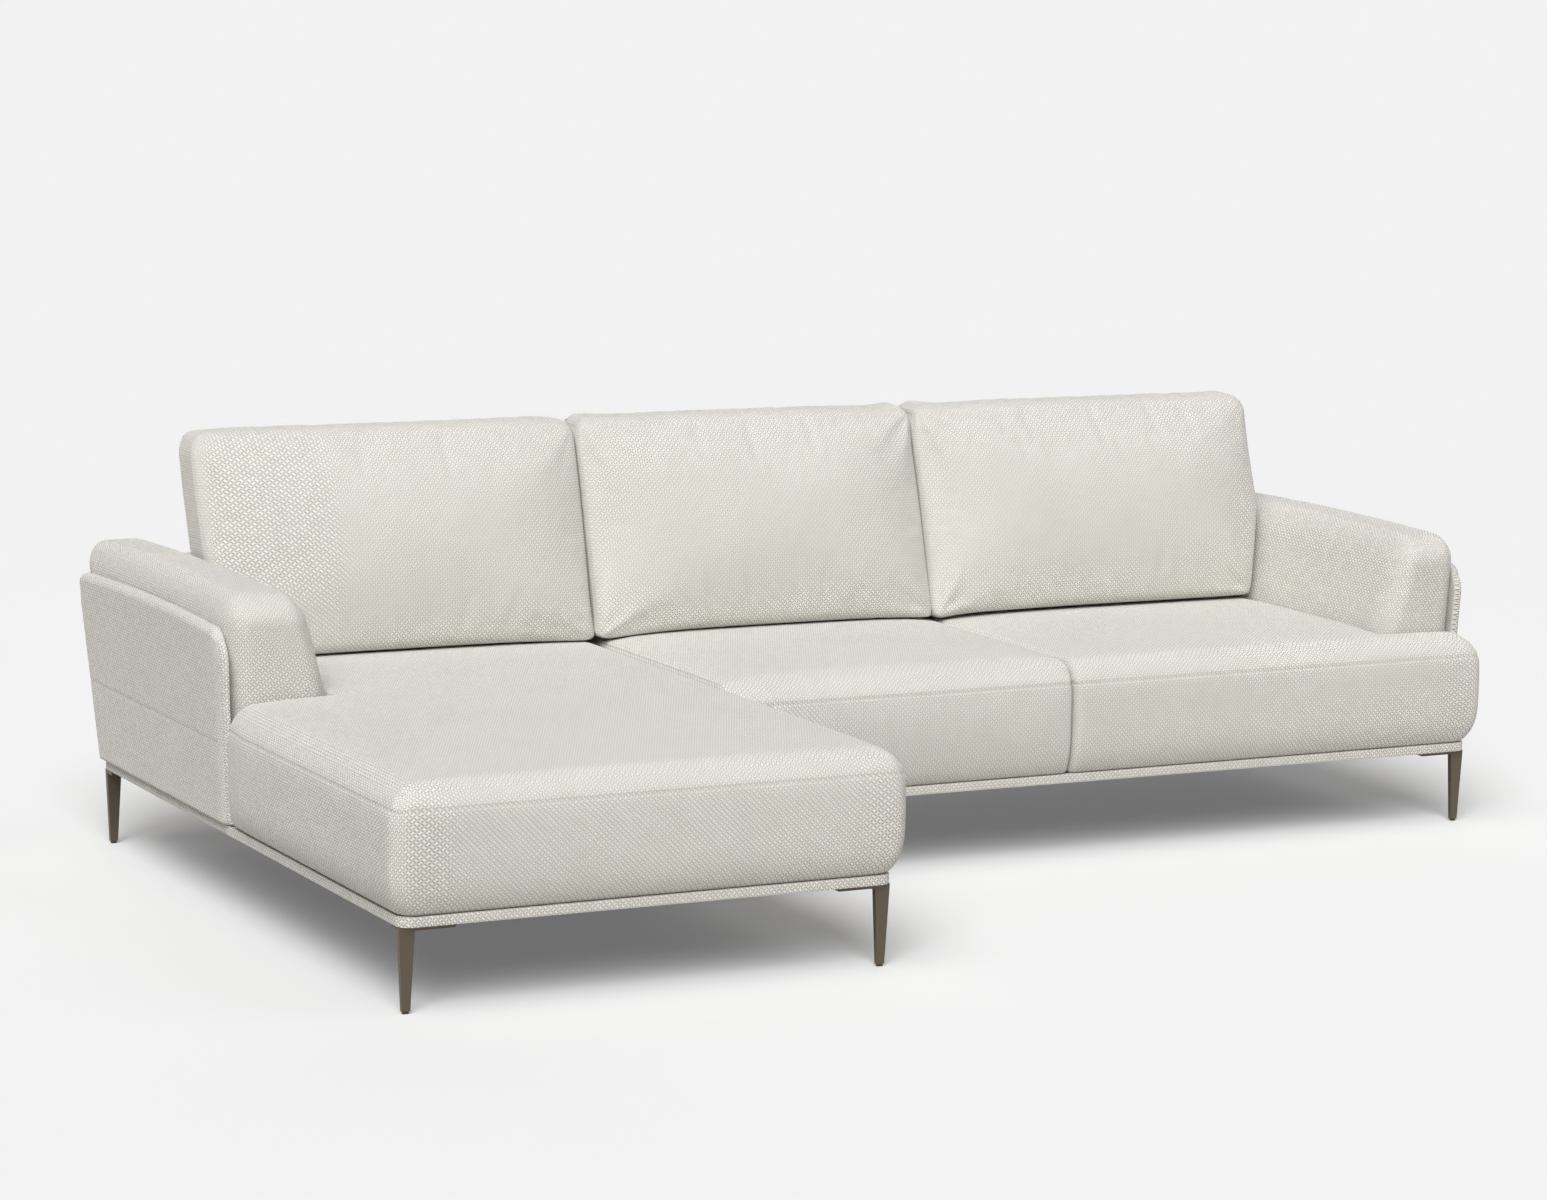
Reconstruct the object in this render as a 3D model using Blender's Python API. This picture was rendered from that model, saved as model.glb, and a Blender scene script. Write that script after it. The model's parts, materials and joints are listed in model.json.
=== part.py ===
"""Sectional sofa: a chaise unit, a two seat unit beside it and three loose back cushions.

Plan coordinates: x runs from the chaise's outer side to the far arm, y from the chaise's front to
the back, z up from the floor. A unit is built in its own frame, with x counted from its arm side,
and the two seat unit is the mirrored one. The last step centres the object on its footprint.
"""

import bpy
from mathutils import Vector
from mathutils.bvhtree import BVHTree

# Overall plan, metres
BASE_WIDTH = 2.843
CHAISE_WIDTH = 0.997
CHAISE_DEPTH = 1.650
SOFA_SETBACK = 0.743
UNIT_GAP = 0.006

# Heights above the floor
FOOT_RISE = 0.160
BAND_HEIGHT = 0.019
RAIL_TOP = 0.280
SEAT_TOP = 0.430
ARM_TOP = 0.630
ARM_PANEL_TOP = 0.565
BACK_TOP = 0.600
BACK_PANEL_TOP = 0.565
CUSHION_TOP = 0.880

# Base: upholstered tray, timber rails, webbing
TRAY_WALL = 0.012
TRAY_FLOOR = 0.004
TRAY_CORNER = 0.025
RAIL_INSET = 0.026
RAIL_THICKNESS = 0.045
RAIL_CLEARANCE = 0.002
CROSS_RAIL_WIDTH = 0.040
WEB_THICKNESS = 0.003
WEB_STRAP = 0.060
WEB_SEATING = 0.012
CHAISE_STRAPS = (5, 8)
SOFA_STRAPS = (8, 5)

# Seats
SEAT_INSET = 0.001
SEAT_WALL = 0.012
SEAT_EDGE = 0.030
SEAT_TOP_EDGE = 0.052
SEAT_TIGHT_EDGE = 0.010
SEAT_CROWN = 0.020
FRONT_BELLY = 0.022
CHAISE_SIDE_BELLY = 0.026
SOFA_SIDE_BELLY = 0.040
BELLY_DEPTH = 0.100
BELLY_AT_ARM = 0.5
BELLY_STOP = 0.030
FOAM_CLEARANCE = 0.002

# Arms
CHAISE_ARM_FRONT = 0.866
SOFA_ARM_FRONT = 0.805
ARM_WIDTH = 0.205
ARM_PANEL_OUT = 0.010
ARM_PANEL_THICKNESS = 0.023
ARM_BOARD = 0.025
ARM_BOARD_TOP = 0.540
ARM_BOARD_INSET = 0.040
ARM_SKIN = 0.004
ARM_FLARE = 0.020
ARM_TAPER = 0.050
ARM_RAKE = 0.008
ARM_CROWN = 0.010
ARM_EDGE = 0.040
ARM_TAIL_INSET = 0.003
PANEL_EDGE = 0.011
PANEL_CORNER = 0.065

# Back
BACK_LEAN = 0.240
BACK_PANEL_THICKNESS = 0.028
BACK_BOARD_THICKNESS = 0.030
BACK_PAD_THICKNESS = 0.175
BACK_BOARD_TOP = 0.550
BACK_BOARD_INSET = 0.010
CUT_PAST = 0.010

# Loose back cushions
CUSHION_DEPTH = 0.222
CUSHION_LEAN = 0.285
CUSHION_SHIFT = 0.014
CUSHION_SPACE = 0.006
CUSHION_ARM_SPACE = 0.002
CUSHION_FAR_SPACE = 0.016
CUSHION_SIDE_START = 0.75
CUSHION_WALL = 0.008
CUSHION_EDGE = 0.032
CUSHION_CROWN = 0.045
CUSHION_REAR_CROWN = 0.045
CUSHION_DRAW_IN = 0.006
FILL_CLEARANCE = 0.002
ZIP_SLOT = 0.010
ZIP_INSET = 0.120

# Legs
LEG_WIDTH = 0.031
LEG_DEPTH = 0.012
LEG_FOOT_SHARE = 0.52
LEG_SIDE_INSET = 0.002
LEG_FRONT_INSET = 0.014
LEG_PLATE_LENGTH = 0.116
LEG_PLATE_DEPTH = 0.040
LEG_PLATE_THICKNESS = 0.008
LEG_PLATE_CHAMFER = 0.008
GLIDE_HEIGHT = 0.005
GLIDE_WIDTH_SHARE = 0.84
GLIDE_DEPTH_SHARE = 0.70

# Link plates between the units
LINK_THICKNESS = 0.004
LINK_WIDTH = 0.040
LINK_REACH = 0.075
LINK_FRONT_OFFSET = 0.240
LINK_REAR_OFFSET = 0.220

# Range that takes in every piece, for an axis along which no edge is rounded
WIDE = (-1.0, 1.0)

# Room left between pieces that touch, and under a cushion that rests on a seat
GAP = 0.0004
REST_GAP = 0.0007

# Meshing: least distance between grid lines, smallest length, where a line divides a rounded
# edge, probes along an edge, ray length
LINE_SPACING = 0.004
MERGE = 1e-6
EDGE_SHARE = 0.6
EDGE_PROBES = 9
PROBE_REACH = 2.0

BAND_TOP = FOOT_RISE + BAND_HEIGHT
SKIRT_LOW = BAND_TOP + GAP
RAIL_LOW = FOOT_RISE + TRAY_FLOOR + GAP
WEB_LOW = RAIL_TOP + GAP
WEB_TOP = WEB_LOW + WEB_THICKNESS
PAD_LOW = WEB_TOP + GAP
SOFA_START = CHAISE_WIDTH + UNIT_GAP
SOFA_WIDTH = BASE_WIDTH - SOFA_START
BACK_INNER = CHAISE_DEPTH - BACK_PANEL_THICKNESS
BOARD_FACE = BACK_INNER - BACK_BOARD_THICKNESS
PAD_FACE = BOARD_FACE - BACK_PAD_THICKNESS
REAR_RAIL_END = BACK_INNER - RAIL_CLEARANCE
SEAT_REAR = PAD_FACE + BACK_LEAN * (PAD_LOW - BAND_TOP) - GAP
CUSHION_REAR = PAD_FACE + BACK_LEAN * (SEAT_TOP - BAND_TOP) - GAP
CUSHION_FRONT = CUSHION_REAR - CUSHION_DEPTH
PANEL_INNER = ARM_PANEL_THICKNESS - ARM_PANEL_OUT
PAD_OUTER = PANEL_INNER + GAP

pieces = []
bodies = {}
materials = {}


def clamp(value, low=0.0, high=1.0):
    return min(max(value, low), high)


def ramp(value, start, end):
    """0 up to start, 1 from end, straight between."""
    return clamp((value - start) / (end - start))


def add_material(name, hex_color, roughness, metallic=0.0):
    """Principled material from an sRGB hex colour."""
    material = bpy.data.materials.new(name)
    material.use_nodes = True
    shader = material.node_tree.nodes["Principled BSDF"]
    linear = []
    for start in (1, 3, 5):
        part = int(hex_color[start:start + 2], 16) / 255
        linear.append(part / 12.92 if part <= 0.04045 else ((part + 0.055) / 1.055) ** 2.4)
    shader.inputs["Base Color"].default_value = (*linear, 1.0)
    shader.inputs["Roughness"].default_value = roughness
    shader.inputs["Metallic"].default_value = metallic
    material.diffuse_color = (*linear, 1.0)
    materials[name] = material


def add_body(name):
    empty = bpy.data.objects.new(name, None)
    bpy.context.scene.collection.objects.link(empty)
    bodies[name] = empty


def inside(point, box):
    return all(low < value < high for value, (low, high) in zip(point, box))


def axis_lines(axis, boxes, extra):
    """Grid lines on one axis: every box side, and the extra lines that keep clear of those."""
    sides = sorted({round(side, 6) for box in boxes for side in box[axis]})
    lines = list(sides)
    for value in extra:
        if sides[0] < value < sides[-1] and all(abs(value - line) > LINE_SPACING for line in lines):
            lines.append(value)
    return sorted(lines)


def grid_piece(name, body, material, solids, voids=(), extra=((), (), ()), shape=None, flips=()):
    """One closed body: the grid cells inside solids and outside voids, then shaped and flipped.

    Every grid square is split along the same diagonal, so a nested piece follows its cover.
    """
    lines = [axis_lines(axis, (*solids, *voids), extra[axis]) for axis in range(3)]
    counts = [len(axis) - 1 for axis in lines]
    kept = set()
    for i in range(counts[0]):
        for j in range(counts[1]):
            for k in range(counts[2]):
                middle = [(axis[n] + axis[n + 1]) / 2 for axis, n in zip(lines, (i, j, k))]
                held = any(inside(middle, box) for box in solids)
                if held and not any(inside(middle, box) for box in voids):
                    kept.add((i, j, k))
    corners = {}
    faces = []
    sides = (
        ((-1, 0, 0), ((0, 0, 0), (0, 0, 1), (0, 1, 1), (0, 1, 0))),
        ((1, 0, 0), ((1, 0, 0), (1, 1, 0), (1, 1, 1), (1, 0, 1))),
        ((0, -1, 0), ((0, 0, 0), (1, 0, 0), (1, 0, 1), (0, 0, 1))),
        ((0, 1, 0), ((0, 1, 0), (0, 1, 1), (1, 1, 1), (1, 1, 0))),
        ((0, 0, -1), ((0, 0, 0), (0, 1, 0), (1, 1, 0), (1, 0, 0))),
        ((0, 0, 1), ((0, 0, 1), (1, 0, 1), (1, 1, 1), (0, 1, 1))),
    )
    for cell in sorted(kept):
        for step, quad in sides:
            beyond = tuple(n + s for n, s in zip(cell, step))
            if beyond in kept:
                continue
            face = []
            for offset in quad:
                key = tuple(n + o for n, o in zip(cell, offset))
                face.append(corners.setdefault(key, len(corners)))
            faces.append((face[0], face[1], face[2]))
            faces.append((face[0], face[2], face[3]))
    points = []
    for key in corners:
        point = tuple(axis[n] for axis, n in zip(lines, key))
        point = list(shape(point)) if shape else list(point)
        for axis, total in flips:
            point[axis] = total - point[axis]
        points.append(point)
    if len(flips) % 2:
        faces = [face[::-1] for face in faces]
    return add_piece(name, body, material, points, faces)


def add_piece(name, body, material, points, faces):
    """Mesh object with its origin at its own middle, parented to its body's empty."""
    centre = [(min(p[n] for p in points) + max(p[n] for p in points)) / 2 for n in range(3)]
    mesh = bpy.data.meshes.new(name)
    mesh.from_pydata([[p[n] - centre[n] for n in range(3)] for p in points], [], faces)
    mesh.materials.append(materials[material])
    mesh.update()
    piece = bpy.data.objects.new(name, mesh)
    piece.location = centre
    piece.parent = bodies[body]
    bpy.context.scene.collection.objects.link(piece)
    pieces.append(piece)
    return piece


def soften(point, rounds):
    """Round the edges of a union of boxes: each round is (box, low and high radius per axis)."""
    best = None
    for box, radii in rounds:
        anchor = []
        reach = []
        for value, (low, high), (r_low, r_high) in zip(point, box, radii):
            held = clamp(value, low + r_low, high - r_high)
            radius = max(r_low if value < held else r_high, MERGE)
            anchor.append(held)
            reach.append((value - held) / radius)
        length = sum(part * part for part in reach) ** 0.5
        if best is None or length < best[0]:
            best = (length, max(abs(part) for part in reach), anchor)
    length, peak, anchor = best
    if length < MERGE:
        return point
    share = peak / length
    return tuple(held + (value - held) * share for value, held in zip(point, anchor))


def edge_lines(low, high, wall, r_low, r_high, count):
    """Lines that resolve a rounded edge at each end, and count lines spread between them."""
    start = low + r_low
    end = high - r_high
    step = (end - start) / (count + 1)
    inner = [start + step * n for n in range(count + 2)]
    return [low + wall, low + (wall + r_low) / 2, *inner, high - (wall + r_high) / 2, high - wall]


def arm_flare(z):
    return ARM_FLARE * ramp(z, BAND_TOP, ARM_TOP)


def arm_taper(z):
    return ARM_TAPER * ramp(z, SEAT_TOP, ARM_TOP)


def back_lean(z):
    return BACK_LEAN * (z - BAND_TOP)


def lean_arm(point, front):
    """Flare outward, narrow toward the top, and lean the rear edge with the back."""
    x, y, z = point
    along = (y - front) / (CHAISE_DEPTH - front)
    core = ARM_PANEL_THICKNESS + ARM_BOARD
    narrow = arm_taper(z) * ramp(x, core, ARM_WIDTH)
    rake = ARM_RAKE * ramp(z, SEAT_TOP + SEAT_CROWN, ARM_TOP) * (1 - along)
    return x - arm_flare(z) - narrow, y + back_lean(z) * max(along, 0) - rake, z


def crown_arm(point, front, low, top):
    """Raise the top line between the arm's front and rear."""
    x, y, z = point
    along = 2 * (y - front) / (CHAISE_DEPTH - front) - 1
    return x, y, z + ARM_CROWN * (1 - clamp(abs(along)) ** 2) * ramp(z, low, top)


def make_tray(unit, prefix, width, front, flips):
    """Upholstered tray: the visible base band and the closed underside."""
    outer = ((0, width), (front, CHAISE_DEPTH), (FOOT_RISE, BAND_TOP))
    wall = TRAY_WALL
    hollow = ((wall, width - wall), (front + wall, CHAISE_DEPTH - wall),
              (FOOT_RISE + TRAY_FLOOR, BAND_TOP + wall))
    corner = (TRAY_CORNER, TRAY_CORNER)

    def shape(point):
        return soften(point, [((outer[0], outer[1], WIDE), (corner, corner, (0, 0)))])

    extra = (edge_lines(*outer[0], wall, *corner, 0), edge_lines(*outer[1], wall, *corner, 0), ())
    grid_piece(f"{prefix}_base_band", unit, "fabric", [outer], [hollow], extra, shape, flips)


def make_rails(unit, prefix, width, front, cross, flips):
    """Timber base frame standing in the tray; cross is the middle rail's box in plan."""
    height = (RAIL_LOW, RAIL_TOP)
    left = RAIL_INSET
    right = width - RAIL_INSET
    fore = front + RAIL_INSET
    deep = RAIL_THICKNESS
    plans = {
        "front_rail": ((left, right), (fore, fore + deep)),
        "rear_rail": ((left, right), (REAR_RAIL_END - deep, REAR_RAIL_END)),
        "outer_rail": ((left, left + deep), (fore + deep + GAP, REAR_RAIL_END - deep - GAP)),
        "inner_rail": ((right - deep, right), (fore + deep + GAP, REAR_RAIL_END - deep - GAP)),
        "cross_rail": cross,
    }
    for name, plan in plans.items():
        grid_piece(f"{prefix}_{name}", unit, "timber", [(*plan, height)], flips=flips)


def make_webbing(unit, prefix, width, front, counts, flips):
    """Lattice of elastic straps whose ends lie on the rails beside the arm and back boards."""
    x_low = ARM_PANEL_THICKNESS + ARM_BOARD + WEB_SEATING / 4
    x_high = width - RAIL_INSET - WEB_SEATING
    y_low = front + RAIL_INSET + WEB_SEATING
    y_high = BOARD_FACE + back_lean(WEB_TOP) - 3 * GAP
    height = (WEB_LOW, WEB_TOP)
    straps = []
    for low, high, count, axis in ((x_low, x_high, counts[0], 0), (y_low, y_high, counts[1], 1)):
        pitch = (high - low - WEB_STRAP) / (count - 1)
        for n in range(count):
            band = (low + pitch * n, low + pitch * n + WEB_STRAP)
            if axis == 0:
                straps.append((band, (y_low, y_high), height))
            else:
                straps.append(((x_low, x_high), band, height))
    grid_piece(f"{prefix}_webbing", unit, "webbing", straps, flips=flips)


def make_seat(unit, name, plan, arm_front, side_belly, open_end, inner_limit, flips):
    """Seat cover and its foam: a box with a crowned top, full width in front of the arm.

    The plan is (start, end, front). arm_front is None on a seat with no arm beside it. An open_end
    has no wall below the webbing. The inner side bellies out up to y = inner_limit, which is None
    on a seat with another one beside it.
    """
    start, end, front = plan
    notched = arm_front is not None
    narrow = ARM_WIDTH + GAP if notched else start
    rear = SEAT_REAR
    wing_end = arm_front - GAP if notched else rear
    wall = SEAT_WALL
    outer_edge = SEAT_EDGE if notched else SEAT_TIGHT_EDGE
    inner_edge = SEAT_EDGE if inner_limit else SEAT_TIGHT_EDGE
    top_edge = (0, SEAT_TOP_EDGE)
    tight = SEAT_TIGHT_EDGE
    tall = (SKIRT_LOW, SEAT_TOP)
    body_box = ((narrow, end), (front, rear), tall)
    rounds = [(body_box, ((tight, inner_edge), (SEAT_EDGE, tight), top_edge))]
    solids = [body_box]
    hollow_top = SEAT_TOP - wall
    voids = [((narrow + wall, end - wall), (front + wall, rear - wall), (PAD_LOW, hollow_top))]
    if notched:
        wing_box = ((start, end), (front, wing_end), tall)
        rounds.append((wing_box, ((outer_edge, inner_edge), (SEAT_EDGE, tight), top_edge)))
        solids.append(wing_box)
        voids.append(((start + wall, end - wall), (front + wall, wing_end - wall),
                      (PAD_LOW, hollow_top)))
    skirt_start = start + wall if notched or not open_end else start - wall
    skirt_end = end + wall if open_end and notched else end - wall
    skirt = ((skirt_start, skirt_end), (front + wall, rear + wall), (SKIRT_LOW - wall, PAD_LOW))
    voids.append(skirt)

    def shape(point):
        x, y, z = soften(point, rounds)
        level = ramp(z, SKIRT_LOW, SEAT_TOP)
        bulge = 1 - (2 * level - 1) ** 4
        ahead = clamp(1 - (y - front) / BELLY_DEPTH)
        outward = clamp(1 - (x - start) / BELLY_DEPTH) if notched else 0
        outward *= 1 - BELLY_AT_ARM * ramp(y, wing_end - BELLY_DEPTH, wing_end)
        inward = 0
        if inner_limit:
            inward = clamp(1 - (end - x) / BELLY_DEPTH)
            inward *= 1 - ramp(y, inner_limit - BELLY_DEPTH, inner_limit)
        rise = seat_rise(x, y, *plan) * ramp(z, WEB_TOP, SEAT_TOP)
        side = side_belly * bulge * (outward - inward)
        return x - side, y - FRONT_BELLY * bulge * ahead, z + rise

    across = edge_lines(start, end, wall, outer_edge, inner_edge, 3)
    along = edge_lines(front, rear, wall, SEAT_EDGE, tight, 4 if notched else 3)
    upward = [*spread((SKIRT_LOW, PAD_LOW), 0, 2), SEAT_TOP - SEAT_TOP_EDGE,
              SEAT_TOP - SEAT_TOP_EDGE / 2]
    fade = [inner_limit - BELLY_DEPTH, inner_limit] if inner_limit else []
    extra = ([*across, narrow], [*fade, wing_end, *along], upward)
    grid_piece(f"{name}_cover", unit, "fabric", solids, voids, extra, shape, flips)

    less = wall + FOAM_CLEARANCE
    core = [((narrow + less, end - less), (front + less, rear - less),
             (PAD_LOW, SEAT_TOP - less))]
    if notched:
        core.append(((start + less, end - less), (front + less, wing_end - less),
                     (PAD_LOW, SEAT_TOP - less)))
    grid_piece(f"{name}_foam", unit, "foam", core, (), extra, shape, flips)


def seat_rise(x, y, start, end, front):
    """Height of a seat's crown above its edges."""
    across = clamp((2 * x - start - end) / (end - start), -1, 1)
    along = clamp((2 * y - front - SEAT_REAR) / (SEAT_REAR - front), -1, 1)
    return SEAT_CROWN * (1 - across ** 4) * (1 - along ** 4)


def make_arm(unit, prefix, front, flips):
    """Arm board on the outer rail, a wedge pad over it and a padded panel outside."""
    board_x = (PAD_OUTER + ARM_SKIN, PAD_OUTER + ARM_SKIN + ARM_BOARD)
    board_y = (front + ARM_BOARD_INSET, REAR_RAIL_END - ARM_BOARD_INSET)
    board = (board_x, board_y, (WEB_LOW, ARM_BOARD_TOP))
    across = (PAD_OUTER, ARM_WIDTH)
    pad = (across, (front, BACK_INNER - GAP), (PAD_LOW, ARM_TOP))
    tail = (across, (front, CHAISE_DEPTH - ARM_TAIL_INSET), (BACK_PANEL_TOP + GAP, ARM_TOP))
    slot = tuple((low - GAP, high + GAP) for low, high in board)
    edge = ARM_EDGE
    radii = ((edge / 2, edge), (edge, edge / 2), (0, edge))
    rounds = [(pad, radii), (tail, radii)]

    def shape_pad(point):
        soft = soften(point, rounds)
        return lean_arm(crown_arm(soft, front, ARM_BOARD_TOP + edge / 2, ARM_TOP), front)

    extra = (
        [PAD_OUTER + edge / 4, PAD_OUTER + edge / 2, *spread(across, edge, 2), ARM_WIDTH - edge,
         ARM_WIDTH - edge / 2],
        edge_lines(*tail[1], edge / 4, edge, edge / 2, 4),
        [PAD_LOW, SEAT_TOP, SEAT_TOP + SEAT_CROWN, ARM_TOP - edge, ARM_TOP - edge / 2],
    )
    grid_piece(f"{prefix}_arm_pad", unit, "fabric", [pad, tail], [slot], extra, shape_pad, flips)

    def shape_board(point):
        return lean_arm(point, front)

    grid_piece(f"{prefix}_arm_board", unit, "timber", [board], (), extra, shape_board, flips)

    panel = ((-ARM_PANEL_OUT, PANEL_INNER), (front, CHAISE_DEPTH), (SKIRT_LOW, ARM_PANEL_TOP))
    edge = PANEL_EDGE
    edges = [(panel, ((edge, 0), (edge, edge), (edge, edge)))]
    corners = [((WIDE, panel[1], panel[2]), ((0, 0), (PANEL_CORNER, PANEL_CORNER / 2),
                                             (0, PANEL_CORNER)))]

    def shape_panel(point):
        soft = soften(soften(point, edges), corners)
        return lean_arm(crown_arm(soft, front, SEAT_TOP, ARM_PANEL_TOP), front)

    corner = PANEL_CORNER
    extra = (
        [edge / 2 - ARM_PANEL_OUT],
        [front + edge, front + corner / 2, front + corner, *spread(panel[1], corner, 3),
         CHAISE_DEPTH - corner / 2, CHAISE_DEPTH - edge],
        [SKIRT_LOW + edge, RAIL_TOP, SEAT_TOP, ARM_PANEL_TOP - corner, ARM_PANEL_TOP - corner / 2,
         ARM_PANEL_TOP - edge],
    )
    grid_piece(f"{prefix}_arm_panel", unit, "fabric", [panel], (), extra, shape_panel, flips)


def make_back(unit, prefix, width, flips):
    """Back board on the rear rail, a pad in front of and over it, a padded panel behind."""
    near = ARM_WIDTH + GAP
    far = 2 * near
    board_x = (near + BACK_BOARD_INSET, width - BACK_BOARD_INSET)

    def shape_board(point):
        x, y, z = point
        return x, y + back_lean(z), z

    board = (board_x, (BOARD_FACE + GAP, BACK_INNER - GAP), (WEB_LOW, BACK_BOARD_TOP))
    grid_piece(f"{prefix}_back_board", unit, "timber", [board], shape=shape_board, flips=flips)

    pad = ((near, width), (PAD_FACE, BACK_INNER - GAP), (PAD_LOW, BACK_TOP))
    hollow = ((near - CUT_PAST, width + CUT_PAST), (BOARD_FACE, BACK_INNER),
              (PAD_LOW - CUT_PAST, BACK_BOARD_TOP + GAP))
    edge = ARM_EDGE
    rounds = [(pad, ((0, 0), (edge, edge / 2), (0, edge)))]

    def shape_pad(point):
        x, y, z = soften(point, rounds)
        follow = (arm_flare(z) + arm_taper(z)) * (1 - ramp(x, near, far))
        return x - follow, y + back_lean(z), z

    across = [(near + far) / 2, far, *spread((far, width), 0, 3)]
    extra = (across, [PAD_FACE + edge / 2, PAD_FACE + edge],
             [SEAT_TOP, BACK_TOP - edge / 2])
    grid_piece(f"{prefix}_back_pad", unit, "fabric", [pad], [hollow], extra, shape_pad, flips)

    start = PAD_OUTER
    panel = ((start, width), (BACK_INNER, CHAISE_DEPTH), (SKIRT_LOW, BACK_PANEL_TOP))
    edge = PANEL_EDGE
    panel_rounds = [(panel, ((0, edge), (0, edge), (edge, edge)))]

    def shape_panel(point):
        x, y, z = soften(point, panel_rounds)
        follow = arm_flare(z) * (1 - ramp(x, start, near))
        return x - follow, y + back_lean(z), z

    extra = ([near, far, width - edge, width - edge / 2],
             [CHAISE_DEPTH - edge, CHAISE_DEPTH - edge / 2],
             [SKIRT_LOW + edge / 2, SKIRT_LOW + edge, SEAT_TOP, BACK_PANEL_TOP - edge,
              BACK_PANEL_TOP - edge / 2])
    grid_piece(f"{prefix}_back_panel", unit, "fabric", [panel], (), extra, shape_panel, flips)


def make_leg(unit, name, front, flips):
    """Tapered blade leg with its top plate under the base, and a glide under its tip."""
    left = LEG_SIDE_INSET
    fore = front + LEG_FRONT_INSET
    plate_low = FOOT_RISE - GAP - LEG_PLATE_THICKNESS
    plate = ((left, left + LEG_PLATE_LENGTH), (fore, fore + LEG_PLATE_DEPTH),
             (plate_low, FOOT_RISE - GAP))
    blade = ((left, left + LEG_WIDTH), (fore, fore + LEG_DEPTH), (GLIDE_HEIGHT, plate_low))
    mid_x = left + LEG_WIDTH / 2
    mid_y = fore + LEG_DEPTH / 2

    def shape(point):
        x, y, z = point
        if z < plate_low - MERGE:
            share = LEG_FOOT_SHARE + (1 - LEG_FOOT_SHARE) * ramp(z, GLIDE_HEIGHT, plate_low)
            return mid_x + (x - mid_x) * share, mid_y + (y - mid_y) * (0.5 + share / 2), z
        if x > plate[0][1] - MERGE and z < plate_low + MERGE:
            return x - LEG_PLATE_CHAMFER, y, z
        return point

    grid_piece(name, unit, "bronze", [plate, blade], shape=shape, flips=flips)

    half_x = LEG_WIDTH * LEG_FOOT_SHARE * GLIDE_WIDTH_SHARE / 2
    half_y = LEG_DEPTH * GLIDE_DEPTH_SHARE / 2
    glide = ((mid_x - half_x, mid_x + half_x), (mid_y - half_y, mid_y + half_y),
             (0, GLIDE_HEIGHT - GAP))
    corner = (half_y, half_y)

    def shape_glide(point):
        return soften(point, [((glide[0], glide[1], WIDE), (corner, corner, (0, 0)))])

    lines = ([glide[0][0] + half_y, glide[0][1] - half_y], [], [])
    glide_name = name.replace("_leg", "_glide")
    grid_piece(glide_name, unit, "glide", [glide], (), lines, shape_glide, flips)


def make_unit(unit, prefix, width, front, arm_front, cross, straps, mirrored):
    """Everything but the seats of one unit, in the unit's own frame."""
    flips = ((0, BASE_WIDTH),) if mirrored else ()
    make_tray(unit, prefix, width, front, flips)
    make_rails(unit, prefix, width, front, cross, flips)
    make_webbing(unit, prefix, width, front, straps, flips)
    make_arm(unit, prefix, arm_front, flips)
    make_back(unit, prefix, width, flips)
    for side, side_flips in (("outer", ()), ("inner", ((0, width),))):
        for end in ("front", "rear"):
            turned = (1, CHAISE_DEPTH) if end == "rear" else None
            moves = (*side_flips, turned) if turned else side_flips
            start = 0.0 if turned else front
            make_leg(unit, f"{prefix}_leg_{end}_{side}", start, (*moves, *flips))


def make_cushion(name, start, end, at_arm, seat, seat_piece):
    """Loose back cushion on the body of its own name: a cover with a zip slot below, and its fill.

    at_arm is -1 or 1 where an arm stands on that side, else 0. seat is the plan of the seat below.
    """
    rear = CUSHION_REAR
    low = SEAT_TOP
    box = ((start, end), (CUSHION_FRONT, rear), (low, CUSHION_TOP))
    edge = CUSHION_EDGE
    radii = ((edge, edge),) * 3

    def shape(point):
        x, y, z = soften(point, [(box, radii)])
        across = 2 * (x - start) / (end - start) - 1
        through = (y - CUSHION_FRONT) / (rear - CUSHION_FRONT)
        level = (z - low) / (CUSHION_TOP - low)
        swell = (1 - across ** 4) * (1 - (2 * level - 1) ** 4)
        flat = 1 - swell
        dent = flat * (CUSHION_CROWN * (1 - through) - CUSHION_REAR_CROWN * through)
        draw = CUSHION_DRAW_IN * across * (1 - (2 * level - 1) ** 2)
        lean = CUSHION_LEAN + (BACK_LEAN - CUSHION_LEAN) * through
        follow = seat_rise(x, y, *seat) * (1 - level)
        x_arm = 0
        if at_arm:
            tall = z + follow
            fade = ramp((across * at_arm + 1) / 2, CUSHION_SIDE_START, 1.0)
            x_arm = at_arm * (arm_flare(tall) + arm_taper(tall)) * fade
        return x - draw + x_arm, y + dent + lean * (z - low), z + follow

    wall = CUSHION_WALL
    hollow = tuple((side[0] + wall, side[1] - wall) for side in box)
    middle = (CUSHION_FRONT + rear) / 2
    slot = ((start + ZIP_INSET, end - ZIP_INSET), (middle - ZIP_SLOT / 2, middle + ZIP_SLOT / 2),
            (low - wall, low + 2 * wall))
    part = edge * EDGE_SHARE
    extra = tuple([side[0] + part, side[0] + edge, *spread(side, edge, count),
                   side[1] - edge, side[1] - part, *slot_lines]
                  for side, count, slot_lines in zip(box, (3, 0, 3), (slot[0], slot[1], ())))
    cover = grid_piece(f"{name}_cover", name, "fabric", [box], [hollow, slot], extra, shape)
    less = wall + FILL_CLEARANCE
    core = tuple((side[0] + less, side[1] - less) for side in box)
    fill = grid_piece(f"{name}_fill", name, "fill", [core], (), extra, shape)
    settle([cover, fill], cover, seat_piece)


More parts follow.
